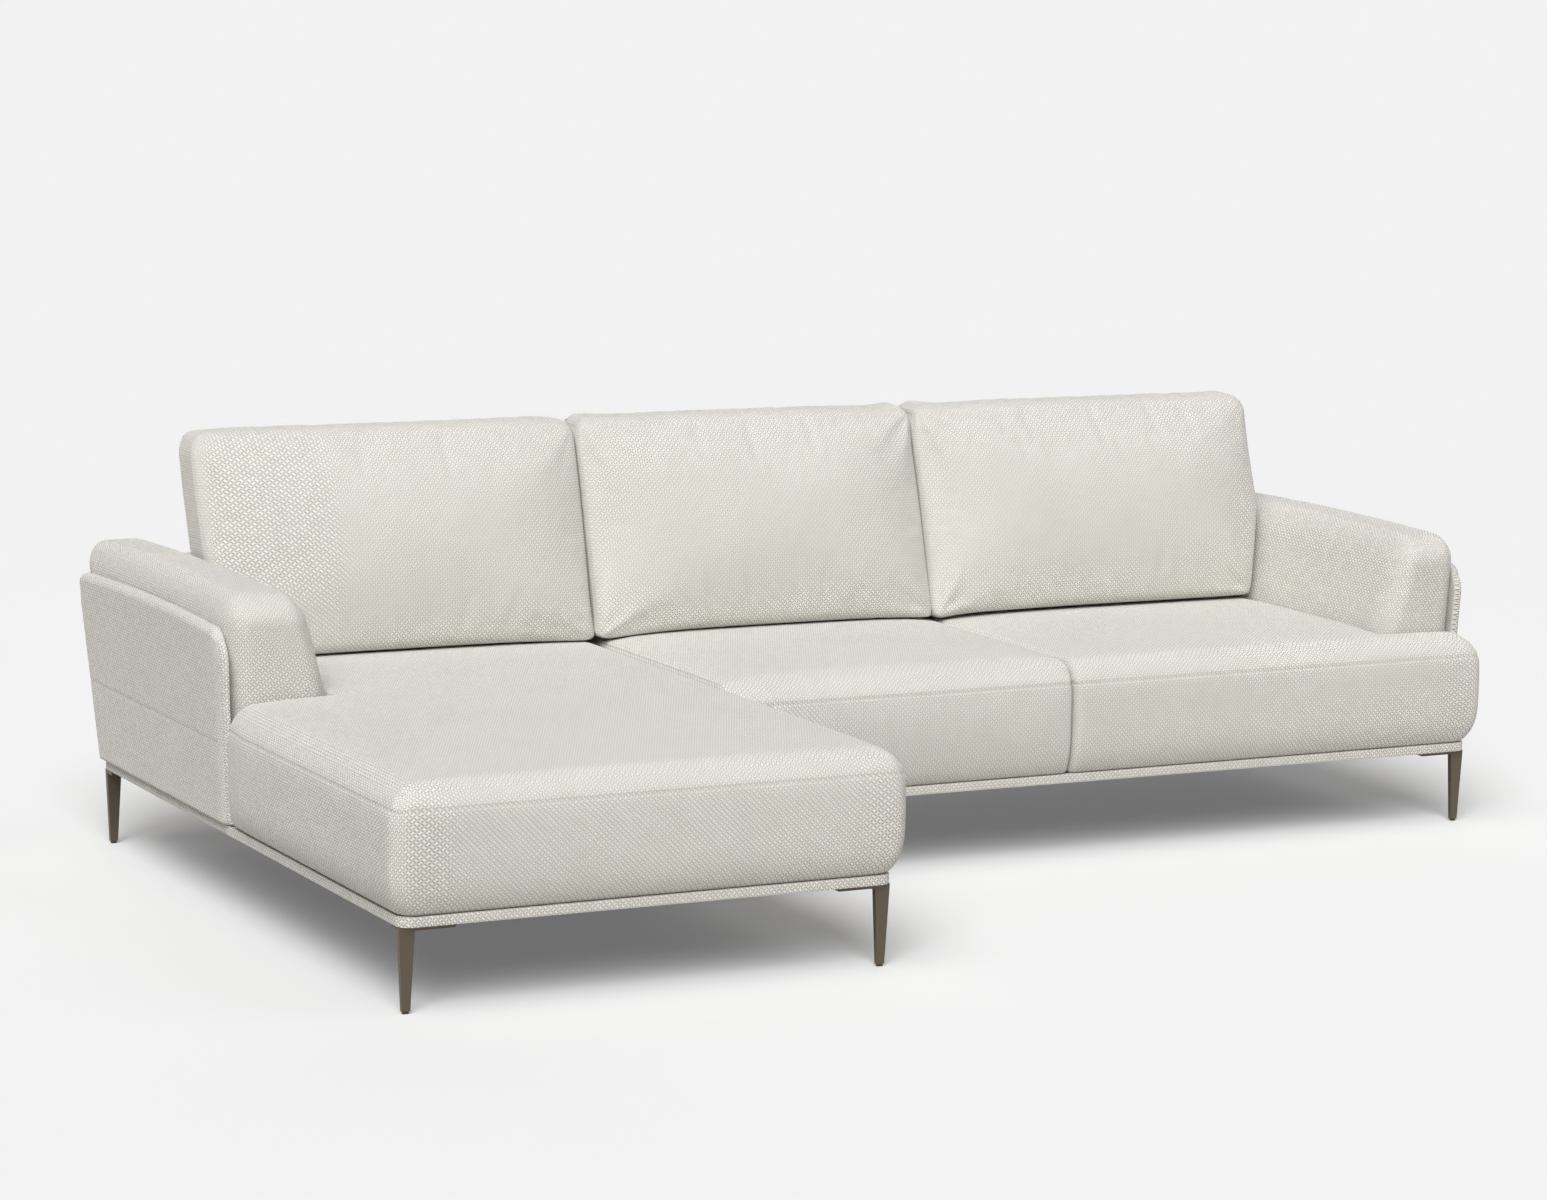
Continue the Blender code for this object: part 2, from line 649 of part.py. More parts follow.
def spread(side, margin, count):
    """Count lines evenly between the margins of one side."""
    start = side[0] + margin
    step = (side[1] - margin - start) / (count + 1)
    return [start + step * (n + 1) for n in range(count)]


def world_points(piece):
    return [piece.location + vertex.co for vertex in piece.data.vertices]


def edge_points(piece):
    """Points along every edge of a piece, its corners included."""
    corners = world_points(piece)
    for edge in piece.data.edges:
        first, second = (corners[n] for n in edge.vertices)
        for step in range(EDGE_PROBES):
            yield first.lerp(second, step / (EDGE_PROBES - 1))


def clear_height(upper, lower):
    """Least vertical distance from lower up to upper, probed along both pieces' edges."""
    room = PROBE_REACH
    for probe, target, direction in ((upper, lower, -1), (lower, upper, 1)):
        tree = BVHTree.FromPolygons(world_points(target), [p.vertices for p in target.data.polygons])
        for point in edge_points(probe):
            start = Vector((point.x, point.y, -direction * PROBE_REACH))
            hit = tree.ray_cast(start, Vector((0, 0, direction)))[0]
            if hit is not None:
                room = min(room, (hit.z - point.z) * direction)
    return room


def settle(group, upper, lower):
    """Slide the group along the back's lean until upper rests on lower with REST_GAP between."""
    for _ in range(3):
        drop = clear_height(upper, lower) - REST_GAP
        for piece in group:
            piece.location.z -= drop
            piece.location.y -= drop * BACK_LEAN


def make_link(name, y_middle):
    """Steel plate under the chaise's inner rail that reaches below the two seat unit."""
    plate = ((CHAISE_WIDTH - LINK_REACH, SOFA_START + LINK_REACH),
             (y_middle - LINK_WIDTH / 2, y_middle + LINK_WIDTH / 2),
             (FOOT_RISE - GAP - LINK_THICKNESS, FOOT_RISE - GAP))
    grid_piece(name, "chaise_unit", "steel", [plate])


def centre_on_footprint():
    """Move all bodies so the object's bounding box is centred on x and y."""
    points = [point for piece in pieces for point in world_points(piece)]
    shift = [-(min(p[n] for p in points) + max(p[n] for p in points)) / 2 for n in range(2)]
    for empty in bodies.values():
        empty.location = (*shift, 0)


for old in list(bpy.data.objects):
    bpy.data.objects.remove(old, do_unlink=True)

add_material("fabric", "#D0CDC5", 0.92)
add_material("bronze", "#62574A", 0.42, 0.75)
add_material("glide", "#3B3835", 0.60)
add_material("timber", "#C8A676", 0.70)
add_material("foam", "#E9E2CC", 0.90)
add_material("fill", "#F1EFE9", 0.90)
add_material("webbing", "#3C3B3A", 0.85)
add_material("steel", "#8B8E91", 0.38, 0.90)

for body_name in ("chaise_unit", "sofa_unit", "back_cushion_left", "back_cushion_centre",
                  "back_cushion_right"):
    add_body(body_name)

inner_x = RAIL_INSET + RAIL_THICKNESS + GAP
half_cross = CROSS_RAIL_WIDTH / 2
chaise_cross = ((inner_x, CHAISE_WIDTH - inner_x),
                (CHAISE_ARM_FRONT - half_cross, CHAISE_ARM_FRONT + half_cross))
make_unit("chaise_unit", "chaise", CHAISE_WIDTH, 0.0, CHAISE_ARM_FRONT, chaise_cross,
          CHAISE_STRAPS, False)
chaise_plan = (SEAT_INSET, CHAISE_WIDTH - SEAT_INSET, SEAT_INSET)
make_seat("chaise_unit", "chaise_seat", chaise_plan, CHAISE_ARM_FRONT, CHAISE_SIDE_BELLY, False,
          SOFA_SETBACK - BELLY_STOP, ())

mirror = ((0, BASE_WIDTH),)
seat_split = (SOFA_WIDTH + ARM_WIDTH) / 2
fore_y = SOFA_SETBACK + RAIL_INSET + RAIL_THICKNESS + GAP
sofa_cross = ((seat_split - half_cross, seat_split + half_cross),
              (fore_y, REAR_RAIL_END - RAIL_THICKNESS - GAP))
make_unit("sofa_unit", "sofa", SOFA_WIDTH, SOFA_SETBACK, SOFA_ARM_FRONT, sofa_cross,
          SOFA_STRAPS, True)
seat_front = SOFA_SETBACK + SEAT_INSET
right_plan = (SEAT_INSET, seat_split - GAP, seat_front)
middle_plan = (seat_split + GAP, SOFA_WIDTH - SEAT_INSET, seat_front)
make_seat("sofa_unit", "right_seat", right_plan, SOFA_ARM_FRONT, SOFA_SIDE_BELLY, True, None, mirror)
make_seat("sofa_unit", "middle_seat", middle_plan, None, 0.0, True, None, mirror)

make_link("chaise_link_plate_front", SOFA_SETBACK + LINK_FRONT_OFFSET)
make_link("chaise_link_plate_rear", CHAISE_DEPTH - LINK_REAR_OFFSET)

seat_covers = {piece.name: piece for piece in pieces}
first_split = CHAISE_WIDTH - CUSHION_SHIFT
far_side = BASE_WIDTH - ARM_WIDTH - CUSHION_FAR_SPACE
second_split = (first_split + CUSHION_SPACE + far_side) / 2
seat_line = BASE_WIDTH - seat_split
make_cushion("back_cushion_left", ARM_WIDTH + CUSHION_ARM_SPACE, first_split, -1,
             chaise_plan, seat_covers["chaise_seat_cover"])
make_cushion("back_cushion_centre", first_split + CUSHION_SPACE, second_split - CUSHION_SPACE / 2, 0,
             (SOFA_START + SEAT_INSET, seat_line - GAP, seat_front), seat_covers["middle_seat_cover"])
make_cushion("back_cushion_right", second_split + CUSHION_SPACE / 2, far_side, 1,
             (seat_line + GAP, BASE_WIDTH - SEAT_INSET, seat_front), seat_covers["right_seat_cover"])

centre_on_footprint()
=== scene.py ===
"""Sectional sofa in woven cloth, with sewn seams, coated steel legs and a pale studio.

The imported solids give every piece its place. Most pieces are shaped in plan coordinates: x counts
from a unit's arm side, y from the chaise's front and z from the floor, and the two seat unit is the
mirrored one. They are moved to the object's own frame when they are finished.
"""

import json
import math
from itertools import product

import bpy
import numpy as np
from mathutils import Matrix, Vector
from mathutils.bvhtree import BVHTree
from mathutils.kdtree import KDTree


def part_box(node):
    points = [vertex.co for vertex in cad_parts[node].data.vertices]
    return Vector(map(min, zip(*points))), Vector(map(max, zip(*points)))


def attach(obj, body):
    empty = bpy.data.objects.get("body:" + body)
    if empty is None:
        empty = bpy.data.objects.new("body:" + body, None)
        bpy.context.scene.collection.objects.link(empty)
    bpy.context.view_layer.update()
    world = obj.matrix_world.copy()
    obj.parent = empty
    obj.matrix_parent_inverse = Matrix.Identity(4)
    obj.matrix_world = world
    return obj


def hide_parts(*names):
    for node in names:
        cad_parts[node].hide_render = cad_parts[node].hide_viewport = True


bl_info = {
    "name": "Sectional Sofa",
    "version": (1, 0, 0),
    "blender": (4, 5, 0),
    "location": "3D View > Sidebar > Sofa",
    "description": "Dresses the sectional sofa's solids with cloth, seams, legs and a studio",
    "category": "Object",
}

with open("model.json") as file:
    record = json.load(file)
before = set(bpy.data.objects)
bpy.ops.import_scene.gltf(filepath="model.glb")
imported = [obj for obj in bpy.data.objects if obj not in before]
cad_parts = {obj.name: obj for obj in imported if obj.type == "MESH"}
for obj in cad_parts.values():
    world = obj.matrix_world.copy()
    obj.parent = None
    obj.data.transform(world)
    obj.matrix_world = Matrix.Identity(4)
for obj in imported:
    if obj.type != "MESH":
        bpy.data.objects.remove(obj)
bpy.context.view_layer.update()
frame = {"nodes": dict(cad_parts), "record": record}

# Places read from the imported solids
CHAISE_LOW, CHAISE_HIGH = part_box("chaise_base_band")
SOFA_LOW, SOFA_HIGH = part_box("sofa_base_band")
BASE_END = -CHAISE_LOW.x
FRONT_Y = CHAISE_LOW.y
DEPTH = CHAISE_HIGH.y - CHAISE_LOW.y
CHAISE_WIDTH = CHAISE_HIGH.x - CHAISE_LOW.x
SOFA_WIDTH = SOFA_HIGH.x - SOFA_LOW.x
SETBACK = SOFA_LOW.y - FRONT_Y
FOOT_RISE = CHAISE_LOW.z
BAND_TOP = CHAISE_HIGH.z
PAD_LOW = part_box("chaise_arm_pad")[0].z
# air between neighbouring pieces
GAP = 0.0004
SKIRT_LOW = BAND_TOP + GAP
# body of each unit, and -1 where plan coordinates are mirrored
CHAISE = ("chaise_unit", 1)
SOFA = ("sofa_unit", -1)

# Sizes in metres, as in the solids apart from the seats' lower and flatter tops
SEAT_TOP = 0.421
SEAT_DROP = 0.009
SEAT_EDGE = 0.034
SEAT_TOP_EDGE = 0.055
SEAT_TIGHT_EDGE = 0.012
SEAT_CROWN = 0.012
FRONT_BELLY = 0.022
CHAISE_SIDE_BELLY = 0.026
SOFA_SIDE_BELLY = 0.040
BELLY_DEPTH = 0.100
BELLY_AT_ARM = 0.5
BELLY_STOP = 0.030
SEAT_SEAM = 0.375
SEAT_INSET = 0.001
SEAT_HEM = 0.005
# depth and width of a seam's dip
SEAT_STITCH = (0.0014, 0.0036)
# where cloth starts and stops being held, measured in from each side
SEAT_HOLD_LOW = (0.004, 0.045)
SEAT_HOLD_REAR = (0.050, 0.010)
SEAT_HOLD_SIDE = (0.035, 0.012)
SEAT_HOLD_ARM = (0.020, 0.030)
SEAT_SEAM_HOLD = (0.9, 0.012)
SEAM_REACH = 0.040
SEAM_SEARCH = 0.050

CHAISE_ARM_FRONT = 0.866
SOFA_ARM_FRONT = 0.805
ARM_TOP = 0.630
ARM_WIDTH = 0.205
# plan of the line between the two seats of the sofa unit
SEAT_SPLIT = (SOFA_WIDTH + ARM_WIDTH) / 2
ARM_PANEL_OUT = 0.010
PANEL_INNER = 0.013
ARM_PANEL_TOP = 0.565
ARM_CORE = 0.048
ARM_FLARE = 0.020
ARM_TAPER = 0.050
ARM_RAKE = 0.008
ARM_CROWN = 0.010
ARM_PAD_RADII = ((0.045, 0.062, 0.0), (0.050, 0.020, 0.058))
ARM_PAD_STEP = 0.009
ARM_TAIL_GAP = 0.003
ARM_CROWN_START = 0.56
CHAISE_TOE = 0.022
TOE_LENGTH = 0.45
TOE_START = 0.395
ARM_PANEL_RADII = ((0.020, 0.048, 0.004), (0.003, 0.018, 0.014))
ARM_PANEL_STEP = 0.005
ARM_PANEL_STITCH = (0.0009, 0.0032)
ARM_SEAM_ENDS = (0.035, 0.002)
PANEL_CORNER = 0.065
PANEL_SEAM = 0.343

BACK_LEAN = 0.240
BACK_TOP = 0.600
BACK_EDGE = 0.040
BACK_SIDE_EDGE = 0.008
BACK_PAD_STEP = 0.012
REAR_PANEL_RADII = ((0.008, 0.003, 0.009), (0.012, 0.014, 0.014))
REAR_PANEL_STEP = 0.008
REAR_PANEL_STITCH = (0.0012, 0.004)
REAR_SEAM_END = 0.01
BACK_PANEL_TOP = 0.565
BACK_INNER = DEPTH - 0.028
BACK_FACE = BACK_INNER - 0.205
SEAT_REAR = BACK_FACE + BACK_LEAN * (PAD_LOW - BAND_TOP) - GAP

CUSHION_THICKNESS = 0.222
CUSHION_TOP = 0.880
CUSHION_LEAN = 0.285
CUSHION_EDGE = 0.034
CUSHION_SEAM_INSET = CUSHION_EDGE * 0.75
CUSHION_CROWN = 0.045
CUSHION_REAR_CROWN = 0.045
CUSHION_DRAW_IN = 0.001
CUSHION_SIDE_START = 0.75
CUSHION_RADII = ((0.030, 0.040, 0.010), (0.030, CUSHION_EDGE, 0.045))
CUSHION_SPACE = 0.006
CUSHION_SPLIT_INSET = 0.014
CUSHION_ARM_GAPS = (0.002, 0.016)
CUSHION_STITCH = (0.0009, 0.0040)
CUSHION_RIDGE = 0.0007
CUSHION_LEANS_OUT = (0.014, -0.011)
# height at which an outer cushion's extra lean is full
CUSHION_LEAN_STOP = 0.75
CUSHION_HOLD_LOW = (0.004, 0.050)
CUSHION_HOLD_REAR = (0.050, 0.010)
CUSHION_HOLD_SIDE = 0.030
CUSHION_SEAM_HOLD = (0.85, 0.010)
CUSHION_REAR_HOLD = 0.7

BASE_CORNER = 0.028
BASE_WALL = 0.014
BASE_FLOOR_DROP = 0.014
BASE_LINING_EDGE = 0.020
BASE_EDGE = 0.0042
BASE_TUCK = (0.001, -0.0012)

LEG_WIDTH = 0.031
LEG_DEPTH = 0.012
LEG_FOOT_SHARE = 0.52
LEG_SIDE_INSET = 0.002
LEG_FRONT_INSET = 0.014
LEG_PLATE_LENGTH = 0.116
LEG_PLATE_DEPTH = 0.040
LEG_PLATE_THICKNESS = 0.008
LEG_PLATE_CHAMFER = 0.008
LEG_IN_PLATE = 0.002
GLIDE_HEIGHT = 0.005

# distances between which the floor turns from lit paper to an even tone
PAPER_LIT = (2.2, 4.6)
FLOOR_RADIUS = 60.0
LAMP_DISTANCE = 6.0
SENSOR_WIDTH = 36.0
VIEW_END = 200.0
# name of the strength setting, azimuth, elevation and spread in degrees
SOFT_LAMPS = (("top_lamp", -60, 66, 40), ("fill_lamp", 60, 42, 40), ("rear_lamp", 150, 18, 60))

CLOTH_FRAMES = 20
HOLD_LEVELS = 10
CLOTH = "hopsack_cloth"
CLOTH_UV = "weave"
SEAM = "seam"


def linear(hex_color):
    """Linear RGBA of an sRGB hex colour."""
    parts = [int(hex_color[start:start + 2], 16) / 255 for start in (1, 3, 5)]
    return (*[p / 12.92 if p <= 0.04045 else ((p + 0.055) / 1.055) ** 2.4 for p in parts], 1.0)


def ramp(value, start, end):
    """0 up to start, 1 from end, straight between."""
    return np.clip((value - start) / (end - start), 0.0, 1.0)


# Blender's own tools, wrapped for pieces made in turn


def only(piece):
    """Select one piece and make it the active one."""
    bpy.ops.object.select_all(action="DESELECT")
    piece.select_set(True)
    bpy.context.view_layer.objects.active = piece


def add_block(name, low, high):
    """Cube primitive between two corners, with its place in its mesh."""
    bpy.ops.object.select_all(action="DESELECT")
    low = Vector(low)
    high = Vector(high)
    bpy.ops.mesh.primitive_cube_add(size=1.0, location=(low + high) / 2, scale=high - low)
    block = bpy.context.object
    block.name = name
    block.data.name = name
    bpy.ops.object.transform_apply(location=True, rotation=True, scale=True)
    return block


def finish_with(piece, kind, **settings):
    """Add a modifier with these settings and apply it."""
    only(piece)
    modifier = piece.modifiers.new(kind.title(), kind)
    for name, value in settings.items():
        setattr(modifier, name, value)
    bpy.ops.object.modifier_apply(modifier=modifier.name)


def read(items, field, width=3, kind=np.float64):
    """One field of all vertices, faces or corners, as rows of this width or as a flat array."""
    flat = np.empty(len(items) * width, dtype=kind)
    items.foreach_get(field, flat)
    return flat.reshape(-1, width) if width > 1 else flat


def points_of(piece):
    return read(piece.data.vertices, "co")


def set_points(piece, points):
    piece.data.vertices.foreach_set("co", np.ascontiguousarray(points, dtype=np.float64).ravel())
    piece.data.update()


def fuse(name, boxes, voxel):
    """One closed even mesh over boxes, still flat and square up to their edges."""
    blocks = [add_block(f"{name}_{n}" if n else name, *box) for n, box in enumerate(boxes)]
    piece = blocks[0]
    if len(blocks) > 1:
        only(piece)
        for other in blocks[1:]:
            other.select_set(True)
        bpy.ops.object.join()
    planes = [np.unique(np.round(column, 6)) for column in points_of(piece).T]
    finish_with(piece, "REMESH", mode="VOXEL", voxel_size=voxel, adaptivity=0.0)
    points = points_of(piece)
    for axis in range(3):
        for plane in planes[axis]:
            points[np.abs(points[:, axis] - plane) < 0.49 * voxel, axis] = plane
    set_points(piece, points)
    return piece


def edit(piece, chosen, operator, kind="FACE", **settings):
    """Run an edit mode operator on a mask of faces or edges, or on the last selection for None."""
    only(piece)
    bpy.ops.object.mode_set(mode="EDIT")
    if chosen is not None:
        bpy.ops.mesh.select_mode(type=kind)
        bpy.ops.mesh.select_all(action="DESELECT")
        bpy.ops.object.mode_set(mode="OBJECT")
        items = piece.data.polygons if kind == "FACE" else piece.data.edges
        items.foreach_set("select", np.asarray(chosen, dtype=bool))
        bpy.ops.object.mode_set(mode="EDIT")
    operator(**settings)
    bpy.ops.object.mode_set(mode="OBJECT")


def face_arrays(piece):
    """Centres and normals of all faces."""
    return read(piece.data.polygons, "center"), read(piece.data.polygons, "normal")


def soften(points, rounds):
    """Round a union of boxes. Each round is (low, high, low radii, high radii)."""
    best = np.full(len(points), np.inf)
    result = points.copy()
    for low, high, r_low, r_high in rounds:
        low, high, r_low, r_high = (np.asarray(part, float) for part in (low, high, r_low, r_high))
        held = np.clip(points, low + r_low, high - r_high)
        radius = np.maximum(np.where(points < held, r_low, r_high), 1e-6)
        reach = (points - held) / radius
        far = np.sqrt((reach ** 2).sum(1))
        scale = np.where(far > 1e-6, np.abs(reach).max(1) / np.maximum(far, 1e-6), 1.0)
        moved = held + (points - held) * scale[:, None]
        nearer = far < best
        result[nearer] = moved[nearer]
        best = np.minimum(best, far)
    return result


def flip(piece):
    """Turn every face of a mirrored piece outward again."""
    edit(piece, np.ones(len(piece.data.polygons)), bpy.ops.mesh.flip_normals)


def place(piece, side):
    """Move a piece from plan coordinates to the object's frame; side -1 mirrors it."""
    points = points_of(piece)
    points[:, 0] = side * (points[:, 0] - BASE_END)
    points[:, 1] += FRONT_Y
    set_points(piece, points)
    if side < 0:
        flip(piece)


# Stuffed cloth


def stuff(piece, seams, most, slack, hold):
    """Blow a closed cover up as cloth and smooth it once; gives its seams where they have come.

    The cover is cut larger by slack and moves up to most. hold is 1 where a point stays and 0
    where it is free.
    """
    before = points_of(piece)
    weights = np.clip(hold, 0.0, 1.0)
    group = piece.vertex_groups.new(name="held")
    for level in range(1, HOLD_LEVELS + 1):
        chosen = np.nonzero(np.round(weights * HOLD_LEVELS) == level)[0]
        group.add(chosen.tolist(), level / HOLD_LEVELS, "REPLACE")
    only(piece)
    scene = bpy.context.scene
    modifier = piece.modifiers.new("Cloth", "CLOTH")
    cloth = {"quality": 4, "mass": 0.3, "tension_stiffness": 15, "compression_stiffness": 15,
             "shear_stiffness": 8, "bending_stiffness": 4, "use_pressure": True,
             "uniform_pressure_force": scene.sofa_upholstery.pressure, "shrink_min": -slack,
             "vertex_group_mass": group.name}
    for name, value in cloth.items():
        setattr(modifier.settings, name, value)
    modifier.settings.effector_weights.gravity = 0
    modifier.point_cache.frame_start = 1
    modifier.point_cache.frame_end = CLOTH_FRAMES
    for step in range(1, CLOTH_FRAMES + 1):
        scene.frame_set(step)
    bpy.ops.object.modifier_apply(modifier=modifier.name)
    scene.frame_set(1)
    piece.vertex_groups.clear()
    move = points_of(piece) - before
    far = np.sqrt((move ** 2).sum(1))
    keep = np.where(far > most, most / np.maximum(far, 1e-9), 1.0) * (1 - weights)
    set_points(piece, before + move * keep[:, None])
    after = points_of(piece)
    smooth_once(piece)
    return [carried(seam, before, after) for seam in seams]


def smooth_once(piece):
    finish_with(piece, "SUBSURF", levels=1, render_levels=1)


def dense(corners, step=0.004, closed=True):
    """Points every few millimetres along straight runs between corners."""
    found = []
    count = len(corners) if closed else len(corners) - 1
    for n in range(count):
        first = np.asarray(corners[n], float)
        last = np.asarray(corners[(n + 1) % len(corners)], float)
        steps = max(int(np.linalg.norm(last - first) / step), 1)
        found.extend(first + (last - first) * k / steps for k in range(steps))
    return np.array(found)


def gather(piece, corner, amount, reach, folds, phase):
    """Soft folds that fan out from a corner, strongest a little way from it."""
    points = points_of(piece)
    away = points - corner
    far = np.sqrt((away ** 2).sum(1)) / reach
    angle = np.arctan2(away[:, 2], away[:, 0])
    swell = far * np.exp(0.5 - 0.5 * (2 * far) ** 2) * 2 * np.cos(folds * angle + phase)
    normals = read(piece.data.vertices, "normal")
    set_points(piece, points + normals * (amount * swell)[:, None])


def tree_of(points):
    """Search tree of these points."""
    tree = KDTree(len(points))
    for n, point in enumerate(points):
        tree.insert(point, n)
    tree.balance()
    return tree


def carried(path, before, after):
    """A path drawn on a surface, moved as the surface's nearest points moved."""
    tree = tree_of(before)
    moved = []
    for point in path:
        near = tree.find_n(point, 4)
        weight = np.array([1 / (hit[2] + 1e-4) for hit in near])
        shift = np.array([after[hit[1]] - before[hit[1]] for hit in near])
        moved.append(point + (shift * weight[:, None]).sum(0) / weight.sum())
    return np.array(moved)


def onto(piece, path):
    """The path's nearest points on the piece's surface."""
    faces = [face.vertices for face in piece.data.polygons]
    tree = BVHTree.FromPolygons(points_of(piece).tolist(), faces)
    return np.array([tree.find_nearest(point)[0] for point in path])


def distance_to(points, path, most):
    """Distance of each point from the path, up to most."""
    tree = tree_of(path)
    low = path.min(0) - most
    high = path.max(0) + most
    found = np.full(len(points), most)
    near = np.nonzero(((points > low) & (points < high)).all(1))[0]
    for n in near:
        found[n] = min(tree.find(points[n])[2], most)
    return found


def sew(piece, path, depth, width, ridge=0.0, shade=1.0):
    """Draw the cloth in along a seam, with a raised edge, and mark it for the material's painted
    seam shade.
    """
    path = onto(piece, path)
    centres, _ = face_arrays(piece)
    edit(piece, distance_to(centres, path, SEAM_SEARCH) < 2.2 * width, bpy.ops.mesh.subdivide,
         number_cuts=2, smoothness=0.0)
    points = points_of(piece)
    away = distance_to(points, path, SEAM_SEARCH)
    press = depth * np.exp(-(away / width) ** 2) - ridge * np.exp(-(away / (0.35 * width)) ** 2)
    set_points(piece, points - read(piece.data.vertices, "normal") * press[:, None])
    mark(piece, shade * np.exp(-(away / (0.42 * width)) ** 2))


def mark(piece, amount):
    """Keep the strongest seam value on every point."""
    attribute = piece.data.attributes.get(SEAM)
    if attribute is None:
        attribute = piece.data.attributes.new(SEAM, "FLOAT", "POINT")
    values = read(attribute.data, "value", 1)
    attribute.data.foreach_set("value", np.maximum(values, amount))


def lay_cloth(piece, facing_axis, sign, chosen=None):
    """Lay cloth flat on one side of a box and fold it over the others; coordinates in metres.

    facing_axis is the axis that the side faces along and sign its direction.
    """
    mesh = piece.data
    layer = mesh.uv_layers.get(CLOTH_UV) or mesh.uv_layers.new(name=CLOTH_UV)
    _, normals = face_arrays(piece)
    counts = read(mesh.polygons, "loop_total", 1, np.int32)
    owner = np.repeat(np.arange(len(counts)), counts)
    facing = np.abs(normals).argmax(1)[owner]
    forward = normals[owner, facing] > 0
    points = points_of(piece)
    low, high = points.min(0), points.max(0)
    corners = points[read(mesh.loops, "vertex_index", 1, np.int32)]
    depth = np.abs((corners - (high if sign > 0 else low))[:, facing_axis])
    axes = [axis for axis in range(3) if axis != facing_axis]
    flat = corners[:, axes]
    for column, axis in enumerate(axes):
        folded = np.where(forward, high[axis] + depth, low[axis] - depth)
        flat[:, column] = np.where(facing == axis, folded, flat[:, column])
    laid = read(layer.data, "uv", 2, np.float32)
    chosen = np.ones(len(owner), bool) if chosen is None else chosen[owner]
    laid[chosen] = flat[chosen]
    layer.data.foreach_set("uv", laid.ravel())
    if mesh.attributes.get(SEAM) is None:
        mark(piece, np.zeros(len(mesh.vertices)))


def dress(piece, body, slot, material, *nodes):
    """Smooth shading, material and body, and hides the solids that the piece stands for; slot is
    not used.
    """
    only(piece)
    bpy.ops.object.shade_smooth()
    piece.data.materials.clear()
    piece.data.materials.append(material)
    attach(piece, body)
    if nodes:
        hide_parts(*nodes)


def cover(piece, unit, *solids, fill=None):
    """Set a piece in its unit and dress it in the cloth; fill, a share of its volume, is not used.
    """
    body, side = unit
    place(piece, side)
    dress(piece, body, "fabric", bpy.data.materials[CLOTH], *solids)


# Materials


def node(tree, kind, inputs=(), **fields):
    """Add a shader node; its inputs, in order or by name or number, take a value or a link."""
    made = tree.nodes.new("ShaderNode" + kind)
    for name, value in fields.items():
        setattr(made, name, value)
    for at, value in dict(inputs if isinstance(inputs, dict) else enumerate(inputs)).items():
        if isinstance(value, bpy.types.NodeSocket):
            tree.links.new(value, made.inputs[at])
        else:
            made.inputs[at].default_value = value
    return made.outputs


def new_material(name, hex_color, roughness, **sockets):
    """Principled material with its uniform values on the shader's own sockets."""
    material = bpy.data.materials.get(name) or bpy.data.materials.new(name)
    material.use_nodes = True
    material.diffuse_color = linear(hex_color)
    tree = material.node_tree
    tree.nodes.clear()
    shader = tree.nodes.new("ShaderNodeBsdfPrincipled")
    node(tree, "OutputMaterial", (shader.outputs[0],))
    shader.inputs["Base Color"].default_value = linear(hex_color)
    shader.inputs["Roughness"].default_value = roughness
    for key, value in sockets.items():
        shader.inputs[key.replace("_", " ")].default_value = value
    return material, tree, shader


